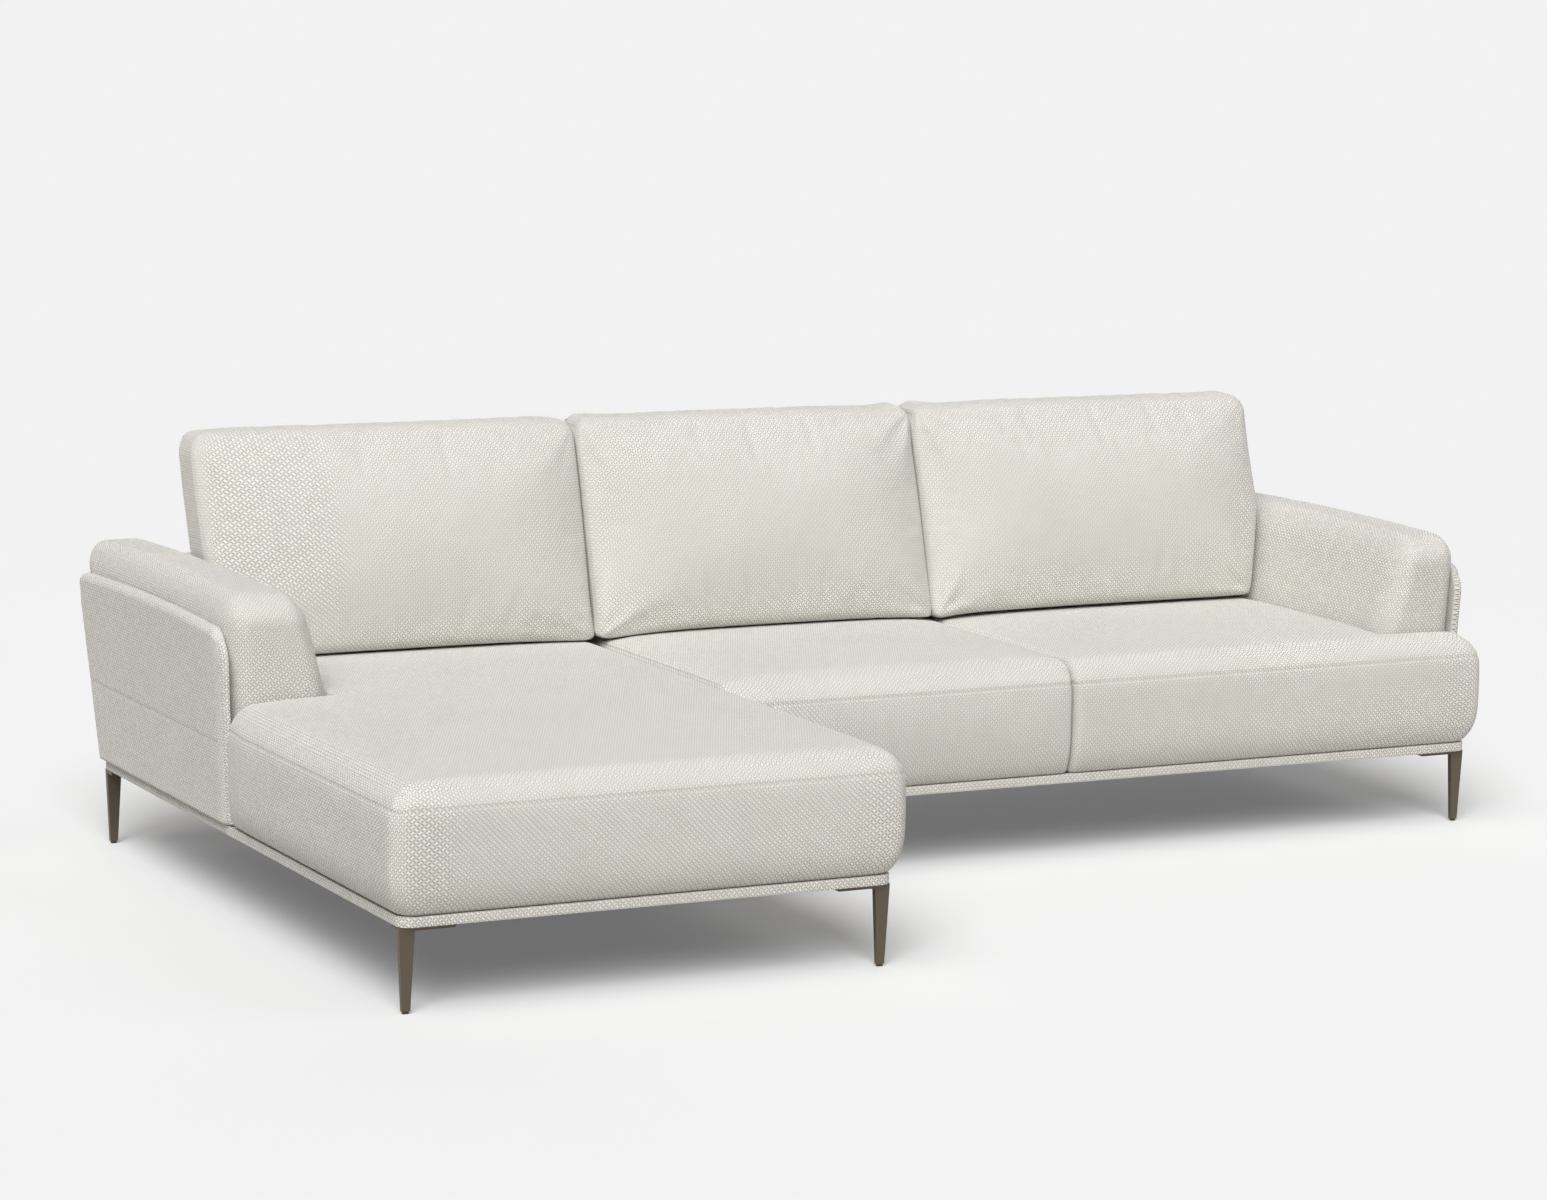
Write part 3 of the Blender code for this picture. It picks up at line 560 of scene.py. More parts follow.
def hopsack_cloth(settings):
    """Chunky boucle hopsack laid on the bias.

    Woven of fat off-white yarn, over one and under one, at 45 degrees to the panels. The yarn is
    fuzzy and matte, and the holes where four floats meet get painted shade, a dark taupe.
    """
    _, tree, shader = new_material(CLOTH, "#D8D5CD", 0.93, Specular_IOR_Level=0.22,
                                   Sheen_Weight=0.22, Sheen_Roughness=0.5)
    uv = node(tree, "UVMap", uv_map=CLOTH_UV)[0]
    # patterns some 25, 2 and 200 mm long: the yarn's wander, its slubs and the tone's slow drift
    wander, slub, drift = (
        node(tree, "TexNoise", {"Vector": uv, "Scale": scale, "Detail": detail},
             noise_dimensions="2D") for scale, detail in ((40.0, 1.0), (420.0, 2.0), (5.0, 2.0)))
    count = 1 / settings.weave_pitch
    bias = node(tree, "Mapping", {"Vector": uv, "Rotation": (0, 0, math.radians(45)),
                                  "Scale": (count, count, 1)})[0]
    # yarn never runs quite straight: about a tenth of its pitch
    shift = node(tree, "VectorMath", {0: wander["Color"], "Scale": 0.15}, operation="SCALE")[0]
    grid = node(tree, "VectorMath", (bias, shift), operation="ADD")[0]
    parts = node(tree, "SeparateXYZ", (grid,))
    found = {"a": parts[0], "b": parts[1], "slub": slub["Fac"],
             "sewn": node(tree, "Attribute", attribute_name=SEAM)["Fac"]}
    for name, operation, *terms in (
            ("cell_a", "FLOOR", "a"), ("cell_b", "FLOOR", "b"),
            ("in_a", "FRACT", "a"), ("in_b", "FRACT", "b"),
            # every second cell is a float of the other set, whose length and width change places
            ("cell", "ADD", "cell_a", "cell_b"), ("turned", "FLOORED_MODULO", "cell", 2.0),
            ("to_b", "SUBTRACT", "in_b", "in_a"), ("to_a", "SUBTRACT", "in_a", "in_b"),
            ("along", "MULTIPLY_ADD", "turned", "to_b", "in_a"),
            ("across", "MULTIPLY_ADD", "turned", "to_a", "in_b"),
            # each float is a fat oval: full across its middle, dipping where it goes under
            ("offset", "MULTIPLY_ADD", "across", 2.0, -1.0), ("side", "ABSOLUTE", "offset"),
            ("reach", "MULTIPLY_ADD", "along", 2.0, -1.0), ("end", "ABSOLUTE", "reach"),
            ("thin", "POWER", "side", 2.2), ("body", "SUBTRACT", 1.0, "thin"),
            ("under", "POWER", "end", 4.0), ("dip", "MULTIPLY_ADD", "under", -0.55, 1.0),
            ("height", "MULTIPLY", "body", "dip"),
            ("relief", "MULTIPLY_ADD", "slub", 0.25, "height"),
            # painted shade in the holes: a short dark dash beside the middle of each float
            ("tip", "POWER", "end", 2.0), ("middle", "MULTIPLY_ADD", "tip", -0.85, 1.0),
            ("edge", "POWER", "side", 2.4), ("hole", "MULTIPLY", "edge", "middle"),
            ("start", "MULTIPLY_ADD", "slub", -0.22, 0.33),
            # the seams get painted shade, darker than their shallow dip renders
            ("crease", "MULTIPLY", "sewn", settings.seam_shade)):
        terms = [found.get(term, term) for term in terms]
        found[name] = node(tree, "Math", terms, operation=operation)[0]
    found["yarn"] = node(tree, "MapRange", {0: found["hole"], 1: found["start"], 2: 0.54, 3: 1.0,
                                            4: 0.0}, interpolation_type="SMOOTHSTEP")[0]
    cell = node(tree, "CombineXYZ", (found["cell_a"], found["cell_b"]))[0]
    found["chance"] = node(tree, "TexWhiteNoise", (cell,), noise_dimensions="2D")[0]
    tone = node(tree, "MapRange", {0: drift["Fac"], 3: 0.97, 4: 1.03})[0]
    found["tone"] = node(tree, "CombineColor", (tone, tone, tone))[0]
    light, shade, pale, dark, seam = (linear(color) for color in (
        settings.yarn_light, settings.yarn_shade, settings.hole_shade_light, settings.hole_shade_dark,
        settings.seam_shadow_color))
    for name, blend, *terms in (
            # single floats come out lighter or darker than their neighbours, and slubs make the
            # painted shade in the holes paler or darker
            ("floats", "MIX", "chance", shade, light),
            ("hole_shade", "MIX", "slub", dark, pale),
            ("woven", "MIX", "yarn", "hole_shade", "floats"),
            ("toned", "MULTIPLY", 1.0, "woven", "tone"),
            # painted seam shade laid over the weave
            ("color", "MIX", "crease", "toned", seam)):
        factor, first, second = (found.get(term, term) for term in terms)
        found[name] = node(tree, "Mix", {0: factor, 6: first, 7: second}, data_type="RGBA",
                           blend_type=blend)[2]
    tree.links.new(found["color"], shader.inputs["Base Color"])
    # yarn stands about 1 mm proud of the holes
    raised = node(tree, "Bump", {"Strength": 0.42, "Distance": 0.001, "Height": found["relief"]})
    tree.links.new(raised[0], shader.inputs["Normal"])


def add_pattern(made, kind, inputs, output="Fac", stretch=(1, 1, 1), colors=None, spread=None,
                relief=None, **fields):
    """Pattern on a new material's Object coordinates, in metres.

    It moves the colour between two hex values, the roughness between two numbers, or the surface
    by a relief's strength and depth.
    """
    material, tree, shader = made
    at = node(tree, "Mapping", {"Vector": node(tree, "TexCoord")["Object"], "Scale": stretch})[0]
    pattern = node(tree, kind, {"Vector": at, **inputs}, **fields)[output]
    if colors:
        first, second = (linear(color) for color in colors)
        mixed = node(tree, "Mix", {0: pattern, 6: first, 7: second}, data_type="RGBA")[2]
        tree.links.new(mixed, shader.inputs["Base Color"])
    if spread:
        rough = node(tree, "MapRange", {0: pattern, 3: spread[0], 4: spread[1]})[0]
        tree.links.new(rough, shader.inputs["Roughness"])
    if relief:
        raised = node(tree, "Bump", {"Strength": relief[0], "Distance": relief[1],
                                     "Height": pattern})[0]
        tree.links.new(raised, shader.inputs["Normal"])
    return material


def coated_steel(settings):
    """Bronze powder coat on laser-cut steel: satin, with a fine orange-peel grain."""
    # grain of about 0.7 mm, coarser than real orange peel so that it shows
    return add_pattern(
        new_material("bronze_powder_coat", settings.leg_color, 0.42, Metallic=0.55),
        "TexNoise", {"Scale": 1400.0, "Detail": 2.0}, colors=(settings.leg_color, "#574D41"),
        spread=(0.36, 0.50), relief=(0.12, 0.0003))


def moulded_nylon():
    """Moulded nylon glide: dark, dull and slightly grainy from its tool."""
    return add_pattern(new_material("moulded_nylon", "#34312E", 0.55), "TexNoise",
                       {"Scale": 2200.0}, spread=(0.48, 0.64))


def sawn_spruce():
    """Planed spruce: pale straw wood with darker growth rings about 4 mm apart."""
    return add_pattern(
        new_material("sawn_spruce", "#D2B183", 0.62), "TexWave",
        {"Scale": 6.0, "Distortion": 3.5, "Detail": 2.0}, stretch=(1, 1, 6),
        colors=("#D9BB8F", "#BE9763"), spread=(0.55, 0.72), wave_type="BANDS", bands_direction="Z")


def elastic_webbing():
    """Elastic upholstery webbing: charcoal straps with fine ribs."""
    # ribs 2.5 mm apart, as the rubber threads lie
    return add_pattern(new_material("elastic_webbing", "#3C3B3A", 0.85), "TexChecker",
                       {"Scale": 400.0}, colors=("#33322F", "#4B4946"))


def zinc_plate():
    """Zinc plated flat steel: cool grey with cloudy spangle about 8 mm across."""
    return add_pattern(new_material("zinc_plate", "#9A9DA0", 0.38, Metallic=1.0), "TexVoronoi",
                       {"Scale": 130.0}, "Distance", colors=("#A3A6A9", "#8A8E92"),
                       spread=(0.30, 0.48))


def spunbond_lining():
    """Black spunbond dust cover: matte felted fibres with a pressed dot pattern 2 mm apart."""
    made = new_material("spunbond_lining", "#2B2A29", 0.95)
    add_pattern(made, "TexVoronoi", {"Scale": 500.0, "Randomness": 0.15}, "Distance",
                relief=(0.3, 0.0004))
    return add_pattern(made, "TexNoise", {"Scale": 300.0, "Detail": 4.0},
                       colors=("#242322", "#3A3937"))


def seen_directly(tree):
    """1 for rays that show a surface itself, 0 for the light that it gives to others."""
    rays = node(tree, "LightPath")
    direct = rays["Is Camera Ray"]
    for other in ("Is Glossy Ray", "Is Transmission Ray"):
        direct = node(tree, "Math", (direct, rays[other]), operation="MAXIMUM")[0]
    return direct


def studio_floor(settings):
    """Seamless paper: lit near the sofa so that it holds the shadow, even further out."""
    material, tree, shader = new_material("seamless_paper", settings.floor_color, 1.0,
                                          Specular_IOR_Level=0.0)
    bounce, seen, even = (linear(color) for color in (settings.floor_bounce, settings.floor_color,
                                                      settings.backdrop_color))
    at = node(tree, "TexCoord")["Object"]
    far = node(tree, "VectorMath", (at,), operation="LENGTH")["Value"]
    fade = node(tree, "MapRange", {0: far, 1: PAPER_LIT[0], 2: PAPER_LIT[1]},
                interpolation_type="SMOOTHSTEP")[0]
    direct = seen_directly(tree)
    paper = node(tree, "Mix", {0: direct, 6: bounce, 7: seen}, data_type="RGBA")[2]
    tree.links.new(paper, shader.inputs["Base Color"])
    # a share of glow near the sofa keeps its shadow as open as the photograph's
    glowing = node(tree, "Math", (fade, settings.shadow_lift), operation="MAXIMUM")[0]
    glowing = node(tree, "Math", (glowing, direct), operation="MULTIPLY")[0]
    glow = node(tree, "Emission", {"Color": even})[0]
    mixed = node(tree, "MixShader", (glowing, shader.outputs[0], glow))[0]
    output = next(item for item in tree.nodes if item.type == "OUTPUT_MATERIAL")
    tree.links.new(mixed, output.inputs[0])
    return material


# Sizes and colours that can be set


def length(name, default, most, description, least=0.0):
    return bpy.props.FloatProperty(name=name, description=description, default=default,
                                   min=least, max=most, precision=4, unit="LENGTH")


def share(name, default, description):
    return bpy.props.FloatProperty(name=name, description=description, default=default, min=0.0,
                                   max=1.0, precision=3, subtype="FACTOR")


def strength(name, default, description):
    return bpy.props.FloatProperty(name=name, description=description, default=default, min=0.0)


def turn(name, degrees, description):
    return bpy.props.FloatProperty(name=name, description=description,
                                   default=math.radians(degrees), subtype="ANGLE")


def tint(name, default, description):
    return bpy.props.StringProperty(name=name, description="sRGB hex colour of " + description,
                                    default=default)


class SofaUpholstery(bpy.types.PropertyGroup):
    """Cloth, stuffing and seams."""

    weave_pitch: length("Weave pitch", 0.0078, 0.03, "Width of one float of the weave", 0.002)
    yarn_light: tint("Light yarn", "#E8E5DE", "the lightest yarn")
    yarn_shade: tint("Shaded yarn", "#DCD9D1", "the darkest floats")
    # painted shade in the weave's holes, paler in shallow holes and darker in deep ones
    hole_shade_light: tint("Light hole shade", "#6A6354", "the shallow holes")
    hole_shade_dark: tint("Dark hole shade", "#3A352A", "the deep holes")
    # painted shade along the seams: its colour and how far the seams take it
    seam_shadow_color: tint("Seam shadow colour", "#8F897D", "the seams")
    seam_shade: share("Seam shade", 0.60, "How far seams take the seam colour")
    cloth_step: length("Cloth step", 0.010, 0.03, "Edge length of the simulated cloth's faces",
                       0.004)
    pressure: strength("Pressure", 4.0, "Stuffing pressure in the cloth simulation")
    seat_swell: length("Seat swell", 0.003, 0.03, "Farthest that a seat's cloth moves")
    cushion_ease: share("Cushion ease", 0.006, "Share by which a cushion's cloth is cut larger")
    cushion_swell: length("Cushion swell", 0.022, 0.03,
                          "Farthest that a loose cushion's cloth moves")
    cushion_slack: bpy.props.FloatVectorProperty(
        name="Cushion slack", description="How much smaller a cushion starts on each side",
        default=(-0.002, 0.006, 0.0), size=3, precision=4, unit="LENGTH")


class SofaHardware(bpy.types.PropertyGroup):
    """Legs."""

    leg_color: tint("Leg colour", "#6A5E50", "the coated legs")
    leg_bevel: length("Leg bevel", 0.0009, 0.003, "Rounding of the legs' edges")


class SofaStudio(bpy.types.PropertyGroup):
    """Floor, lamps and camera."""

    floor_color: tint("Floor colour", "#ECEBEA", "the lit floor")
    floor_bounce: tint("Floor bounce", "#C2C0BA", "the floor as it lights the sofa")
    backdrop_color: tint("Backdrop colour", "#F2F2F2", "the floor and wall far from the sofa")
    shadow_lift: share("Shadow lift", 0.17, "Share of even light in the floor's shadow")
    sky: strength("Sky", 0.02, "Strength of the even light from all round")
    key_lamp: strength("Key lamp", 2.70, "Strength of the large soft lamp at the front left")
    key_color: tint("Key colour", "#FBFDFF", "the key lamp")
    key_azimuth: turn("Key azimuth", -30, "Turn of the key lamp from the front to the right")
    key_elevation: turn("Key elevation", 42, "Height of the key lamp above the horizon")
    key_spread: turn("Key spread", 40, "Width of the key lamp as seen from the sofa")
    top_lamp: strength("Top lamp", 1.20, "Strength of the high soft lamp on the left")
    fill_lamp: strength("Fill lamp", 0.35, "Strength of the soft lamp at the front right")
    rear_lamp: strength("Rear lamp", 0.70, "Strength of the low wide lamp behind the sofa")
    focal_length: bpy.props.FloatProperty(
        name="Focal length", description="Camera lens in millimetres on a 36 mm sensor",
        default=103.303, unit="CAMERA")
    camera_plan: bpy.props.FloatVectorProperty(
        name="Camera place", description="Camera position in plan coordinates",
        default=(-2.9381, -7.1486, 1.9285), size=3, precision=4, unit="LENGTH")
    camera_yaw: turn("Camera yaw", 27.17, "Turn of the view to the right of straight ahead")
    camera_pitch: turn("Camera pitch", 8.60, "Downward tilt of the view")
    camera_roll: turn("Camera roll", 1.07, "Roll of the view about its own axis")


# Shapes in plan coordinates


def arm_flare(z):
    return ARM_FLARE * ramp(z, BAND_TOP, ARM_TOP)


def arm_taper(z):
    return ARM_TAPER * ramp(z, SEAT_TOP, ARM_TOP)


def back_lean(z):
    return BACK_LEAN * (z - BAND_TOP)


def lean_arm(points, front):
    """Flare outward, narrow toward the top, and lean the rear edge with the back."""
    x, y, z = points.T
    along = (y - front) / (DEPTH - front)
    narrow = arm_taper(z) * ramp(x, ARM_CORE, ARM_WIDTH)
    rake = ARM_RAKE * ramp(z, SEAT_TOP + SEAT_CROWN, ARM_TOP) * (1 - along)
    lean = back_lean(z) * np.maximum(along, 0)
    return np.stack((x - arm_flare(z) - narrow, y + lean - rake, z), 1)


def crown_arm(points, front, low, top):
    """Raise the top line between the arm's front and rear."""
    x, y, z = points.T
    along = 2 * (y - front) / (DEPTH - front) - 1
    rise = ARM_CROWN * (1 - np.clip(np.abs(along), 0, 1) ** 2) * ramp(z, low, top)
    return np.stack((x, y, z + rise), 1)


def seat_rise(x, y, plan):
    """Height of a seat's crown above its edges."""
    start, end, front = plan
    across = np.clip((2 * x - start - end) / (end - start), -1, 1)
    along = np.clip((2 * y - front - SEAT_REAR) / (SEAT_REAR - front), -1, 1)
    return SEAT_CROWN * (1 - across ** 4) * (1 - along ** 4)


def fade_in(inside):
    """Share of a side's belly at a distance inside that side, easing to nothing."""
    part = np.clip(1 - inside / BELLY_DEPTH, 0, 1)
    return part * part * (3 - 2 * part)


def make_seat(name, unit, plan, arm_front, side_belly, inner_limit):
    """Upholstered seat: front and side panels sewn to a crowned top, with a belly where free.

    plan is its start, end and front. arm_front is where an arm cuts into it, and inner_limit how
    far back its inner side is free; either is None for a seat without.
    """
    settings = bpy.context.scene.sofa_upholstery
    start, end, front = plan
    narrow = ARM_WIDTH + GAP if arm_front else start
    boxes = [((narrow, front, SKIRT_LOW), (end, SEAT_REAR, SEAT_TOP))]
    corners = [(start, front), (end, front), (end, SEAT_REAR), (narrow, SEAT_REAR)]
    if arm_front:
        wing_end = arm_front - GAP
        boxes.append(((start, front, SKIRT_LOW), (end, wing_end, SEAT_TOP)))
        corners += [(narrow, wing_end), (start, wing_end)]
    inner_edge = SEAT_EDGE if inner_limit else SEAT_TIGHT_EDGE
    hems = [(*box, (SEAT_HEM,) * 3, (SEAT_HEM,) * 3) for box in boxes]
    rounds = [(*box, (edge, SEAT_EDGE, 0.0), (inner_edge, SEAT_TIGHT_EDGE, SEAT_TOP_EDGE))
              for box, edge in zip(boxes, (SEAT_TIGHT_EDGE, SEAT_EDGE))]

    def shaped(points):
        x, y, z = soften(soften(points, hems), rounds).T
        bulge = 1 - (2 * ramp(z, SKIRT_LOW, SEAT_TOP) - 1) ** 4
        side = np.zeros(len(x))
        if arm_front:
            at_arm = BELLY_AT_ARM * ramp(y, wing_end - BELLY_DEPTH, wing_end)
            side += fade_in(x - start) * (1 - at_arm)
        if inner_limit:
            side -= fade_in(end - x) * (1 - ramp(y, inner_limit - BELLY_DEPTH, inner_limit))
        ahead = FRONT_BELLY * bulge * fade_in(y - front)
        rise = seat_rise(x, y, plan) * ramp(z, PAD_LOW, SEAT_TOP)
        return np.stack((x - side_belly * bulge * side, y - ahead, z + rise), 1)

    seat = fuse(name, boxes, settings.cloth_step)
    lay_cloth(seat, 2, 1)
    centres, normals = face_arrays(seat)
    lay_cloth(seat, 1, -1, (centres[:, 2] < SEAT_SEAM) & (np.abs(normals[:, 2]) < 0.5))
    seam = shaped(dense([(x, y, SEAT_SEAM) for x, y in corners]))
    form = shaped(points_of(seat))
    set_points(seat, form)
    x, y, z = form.T
    inner = ramp(x, *(end - part for part in SEAT_HOLD_SIDE))
    outer = ramp(x, *(start + part for part in SEAT_HOLD_SIDE))
    if inner_limit:
        inner *= ramp(y, inner_limit - SEAT_HOLD_REAR[0], inner_limit)
    if arm_front:
        outer = (y > wing_end - SEAT_HOLD_ARM[0]) & (x < narrow + SEAT_HOLD_ARM[1])
    grip, width = SEAT_SEAM_HOLD
    hold = np.max((1 - ramp(z, *(SKIRT_LOW + part for part in SEAT_HOLD_LOW)),
                   grip * np.exp(-(distance_to(form, seam, SEAM_REACH) / width) ** 2),
                   ramp(y, *(SEAT_REAR - part for part in SEAT_HOLD_REAR)), inner, outer), 0)
    for seam in stuff(seat, [seam], settings.seat_swell, 0.0, hold):
        sew(seat, seam, *SEAT_STITCH)
    cover(seat, unit, f"{name}_cover", f"{name}_foam", fill=0.85)


class SOFA_OT_seats(bpy.types.Operator):
    """Make the three upholstered seats"""

    bl_idname = "sofa.seats"
    bl_label = "Seats"

    def execute(self, context):
        hopsack_cloth(context.scene.sofa_upholstery)
        inset = SEAT_INSET
        seat_front = SETBACK + inset
        make_seat("chaise_seat", CHAISE, (inset, CHAISE_WIDTH - inset, inset), CHAISE_ARM_FRONT,
                  CHAISE_SIDE_BELLY, SETBACK - BELLY_STOP)
        make_seat("right_seat", SOFA, (inset, SEAT_SPLIT - GAP, seat_front), SOFA_ARM_FRONT,
                  SOFA_SIDE_BELLY, None)
        make_seat("middle_seat", SOFA, (SEAT_SPLIT + GAP, SOFA_WIDTH - inset, seat_front), None,
                  0.0, None)
        return {"FINISHED"}


def make_cushion(where, start, end, at_arm, over, plan, gathers):
    """Box cushion: crowned front and rear panels, sewn round a band that follows the arm.

    at_arm is the side of the arm beside it, over how far its top leans out past that arm's inner
    side, and plan the start, end and front of its seat. Each gather is (right side, top, height,
    reach, folds, phase) of the folds at one corner.
    """
    settings = bpy.context.scene.sofa_upholstery
    body = f"back_cushion_{where}"
    rear = BACK_FACE + back_lean(SEAT_TOP) - GAP
    fore = rear - CUSHION_THICKNESS
    low = SEAT_TOP
    bottom = np.array((start, fore, low))
    top = np.array((end, rear, CUSHION_TOP))

    def shaped(points, slack=(0, 0, 0)):
        slack = np.array(slack)
        box = (bottom + slack, top - slack, *CUSHION_RADII)
        fitted = box[0] + (points - bottom) * ((box[1] - box[0]) / (top - bottom))
        x, y, z = soften(fitted, [box]).T
        across = 2 * (x - start) / (end - start) - 1
        through = (y - fore) / (rear - fore)
        level = (z - low) / (CUSHION_TOP - low)
        swell = (1 - np.abs(across) ** 4) * (1 - (2 * level - 1) ** 4)
        dent = (1 - swell) * (CUSHION_CROWN * (1 - through) - CUSHION_REAR_CROWN * through)
        draw = CUSHION_DRAW_IN * across * (1 - (2 * level - 1) ** 2)
        lean = CUSHION_LEAN + (BACK_LEAN - CUSHION_LEAN) * through
        follow = seat_rise(x, y, plan) * (1 - level)
        x_arm = 0
        if at_arm:
            tall = z + follow
            fade = ramp((across * at_arm + 1) / 2, CUSHION_SIDE_START, 1.0)
            beyond = over * ramp(tall, SEAT_TOP, CUSHION_LEAN_STOP)
            x_arm = at_arm * (arm_flare(tall) + arm_taper(tall) + beyond) * fade
        return np.stack((x - draw + x_arm, y + dent + lean * (z - low), z + follow), 1)

    cushion = fuse(f"{where}_back_cushion", [(bottom, top)], settings.cloth_step)
    lay_cloth(cushion, 1, -1)
    box_points = points_of(cushion)
    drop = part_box(f"{body}_cover")[0].z - SEAT_DROP - shaped(box_points)[:, 2].min()
    settle = np.array((0.0, drop * BACK_LEAN, drop))
    form = shaped(box_points, settings.cushion_slack) + settle
    seams = []
    for depth in (fore + CUSHION_SEAM_INSET, rear - CUSHION_SEAM_INSET):
        ring = dense([(start, depth, low), (end, depth, low), (end, depth, CUSHION_TOP),
                      (start, depth, CUSHION_TOP)])
        seams.append(shaped(ring, settings.cushion_slack) + settle)
    set_points(cushion, form)
    away = distance_to(form, np.concatenate(seams), SEAM_REACH)
    grip, width = CUSHION_SEAM_HOLD
    x, y, z = box_points.T
    hold = np.max((grip * np.exp(-(away / width) ** 2),
                   1 - ramp(z, *(low + part for part in CUSHION_HOLD_LOW)),
                   CUSHION_REAR_HOLD * ramp(y, *(rear - part for part in CUSHION_HOLD_REAR)),
                   1 - ramp(np.minimum(x - start, end - x), 0.0, CUSHION_HOLD_SIDE)), 0)
    seams = stuff(cushion, seams, settings.cushion_swell, settings.cushion_ease, hold)
    rim = seams[0]
    for across, up, *fold in gathers:
        target = np.where((across, up), rim.max(0)[[0, 2]], rim.min(0)[[0, 2]])
        corner = rim[((rim[:, [0, 2]] - target) ** 2).sum(1).argmin()]
        gather(cushion, corner, *fold)
    for seam in seams:
        sew(cushion, seam, *CUSHION_STITCH, ridge=CUSHION_RIDGE, shade=0.4)
    cover(cushion, (body, 1), f"{body}_cover", f"{body}_fill", fill=0.6)


class SOFA_OT_cushions(bpy.types.Operator):
    """Make the three loose back cushions"""

    bl_idname = "sofa.cushions"
    bl_label = "Back cushions"

    def execute(self, context):
        hopsack_cloth(context.scene.sofa_upholstery)
        inset = SEAT_INSET
        seat_front = SETBACK + inset
        sofa_start = 2 * BASE_END - SOFA_WIDTH
        seat_line = 2 * BASE_END - SEAT_SPLIT
        near_gap, far_gap = CUSHION_ARM_GAPS
        first_split = CHAISE_WIDTH - CUSHION_SPLIT_INSET
        far_side = 2 * BASE_END - ARM_WIDTH - far_gap
        second_split = (first_split + CUSHION_SPACE + far_side) / 2
        left_over, right_over = CUSHION_LEANS_OUT
        make_cushion("left", ARM_WIDTH + near_gap, first_split, -1, left_over,
                     (inset, CHAISE_WIDTH - inset, inset),
                     ((0, 1, 0.0016, 0.20, 7, 0.4), (1, 1, 0.0014, 0.18, 8, 1.0),
                      (1, 0, 0.0022, 0.16, 9, 2.1), (0, 0, 0.0016, 0.16, 8, 0.2)))
        make_cushion("centre", first_split + CUSHION_SPACE, second_split - CUSHION_SPACE / 2, 0,
                     0, (sofa_start + inset, seat_line - GAP, seat_front),
                     ((1, 1, 0.0032, 0.16, 7, 0.9), (0, 1, 0.0018, 0.18, 8, 2.4),
                      (0, 0, 0.0022, 0.16, 9, 0.7), (1, 0, 0.0020, 0.15, 8, 1.6)))
        make_cushion("right", second_split + CUSHION_SPACE / 2, far_side, 1, right_over,
                     (seat_line + GAP, 2 * BASE_END - inset, seat_front),
                     ((0, 1, 0.0036, 0.17, 8, 1.9), (1, 1, 0.0014, 0.18, 7, 0.3),
                      (0, 0, 0.0022, 0.15, 9, 2.8), (1, 0, 0.0020, 0.17, 8, 1.2)))
        return {"FINISHED"}


def make_padding(name, unit, boxes, step, laid, shape, solid, fill, lines=(), stitch=None):
    """Padded piece from overlapping boxes, shaped, then smoothed or sewn along lines."""
    piece = fuse(name, boxes, step)
    lay_cloth(piece, *laid)
    set_points(piece, shape(points_of(piece)))
    for line in lines:
        sew(piece, shape(dense(line, closed=False)), *stitch)
    if not lines:
        smooth_once(piece)
    cover(piece, unit, solid, fill=fill)


def make_arm(prefix, unit, front, toe, laid):
    """Wedge pad with a crowned top, and the padded panel outside it.

    toe is how far the pad's front bulges over the seat, laid the side that its cloth lies flat on.
    """
    skin = PANEL_INNER + GAP
    tail_low = BACK_PANEL_TOP + GAP
    blocks = (((skin, front, PAD_LOW), (ARM_WIDTH, BACK_INNER - GAP, ARM_TOP)),
              ((skin, front, tail_low), (ARM_WIDTH, DEPTH - ARM_TAIL_GAP, ARM_TOP)))

    def pad_shape(points):
        soft = soften(points, [(*corners, *ARM_PAD_RADII) for corners in blocks])
        x, y, z = lean_arm(crown_arm(soft, front, ARM_CROWN_START, ARM_TOP), front).T
        bulge = toe * (1 - ramp(y, front, front + TOE_LENGTH)) * ramp(z, TOE_START, SEAT_TOP)
        return np.stack((x + bulge * ramp(x, ARM_CORE, ARM_WIDTH - ARM_TAPER), y, z), 1)

    make_padding(f"{prefix}_arm_cushion", unit, blocks, ARM_PAD_STEP, laid, pad_shape,
                 f"{prefix}_arm_pad", 0.95)

    low = (-ARM_PANEL_OUT, front, SKIRT_LOW)
    high = (PANEL_INNER, DEPTH, ARM_PANEL_TOP)
    outline = ((-1, front, SKIRT_LOW), (1, DEPTH, ARM_PANEL_TOP),
               (0, PANEL_CORNER, 0), (0, PANEL_CORNER / 2, PANEL_CORNER))

    def panel_shape(points):
        soft = soften(soften(points, [(low, high, *ARM_PANEL_RADII)]), [outline])
        return lean_arm(crown_arm(soft, front, SEAT_TOP, ARM_PANEL_TOP), front)

    ahead, behind = ARM_SEAM_ENDS
    line = [(-ARM_PANEL_OUT, y, PANEL_SEAM) for y in (front + ahead, DEPTH - behind)]
    make_padding(f"{prefix}_arm_side", unit, [(low, high)], ARM_PANEL_STEP, (0, -1), panel_shape,
                 f"{prefix}_arm_panel", 0.95, [line], ARM_PANEL_STITCH)


class SOFA_OT_arms(bpy.types.Operator):
    """Make both arms"""

    bl_idname = "sofa.arms"
    bl_label = "Arms"

    def execute(self, context):
        hopsack_cloth(context.scene.sofa_upholstery)
        make_arm("chaise", CHAISE, CHAISE_ARM_FRONT, CHAISE_TOE, (2, 1))
        make_arm("sofa", SOFA, SOFA_ARM_FRONT, 0.0, (0, 1))
        return {"FINISHED"}


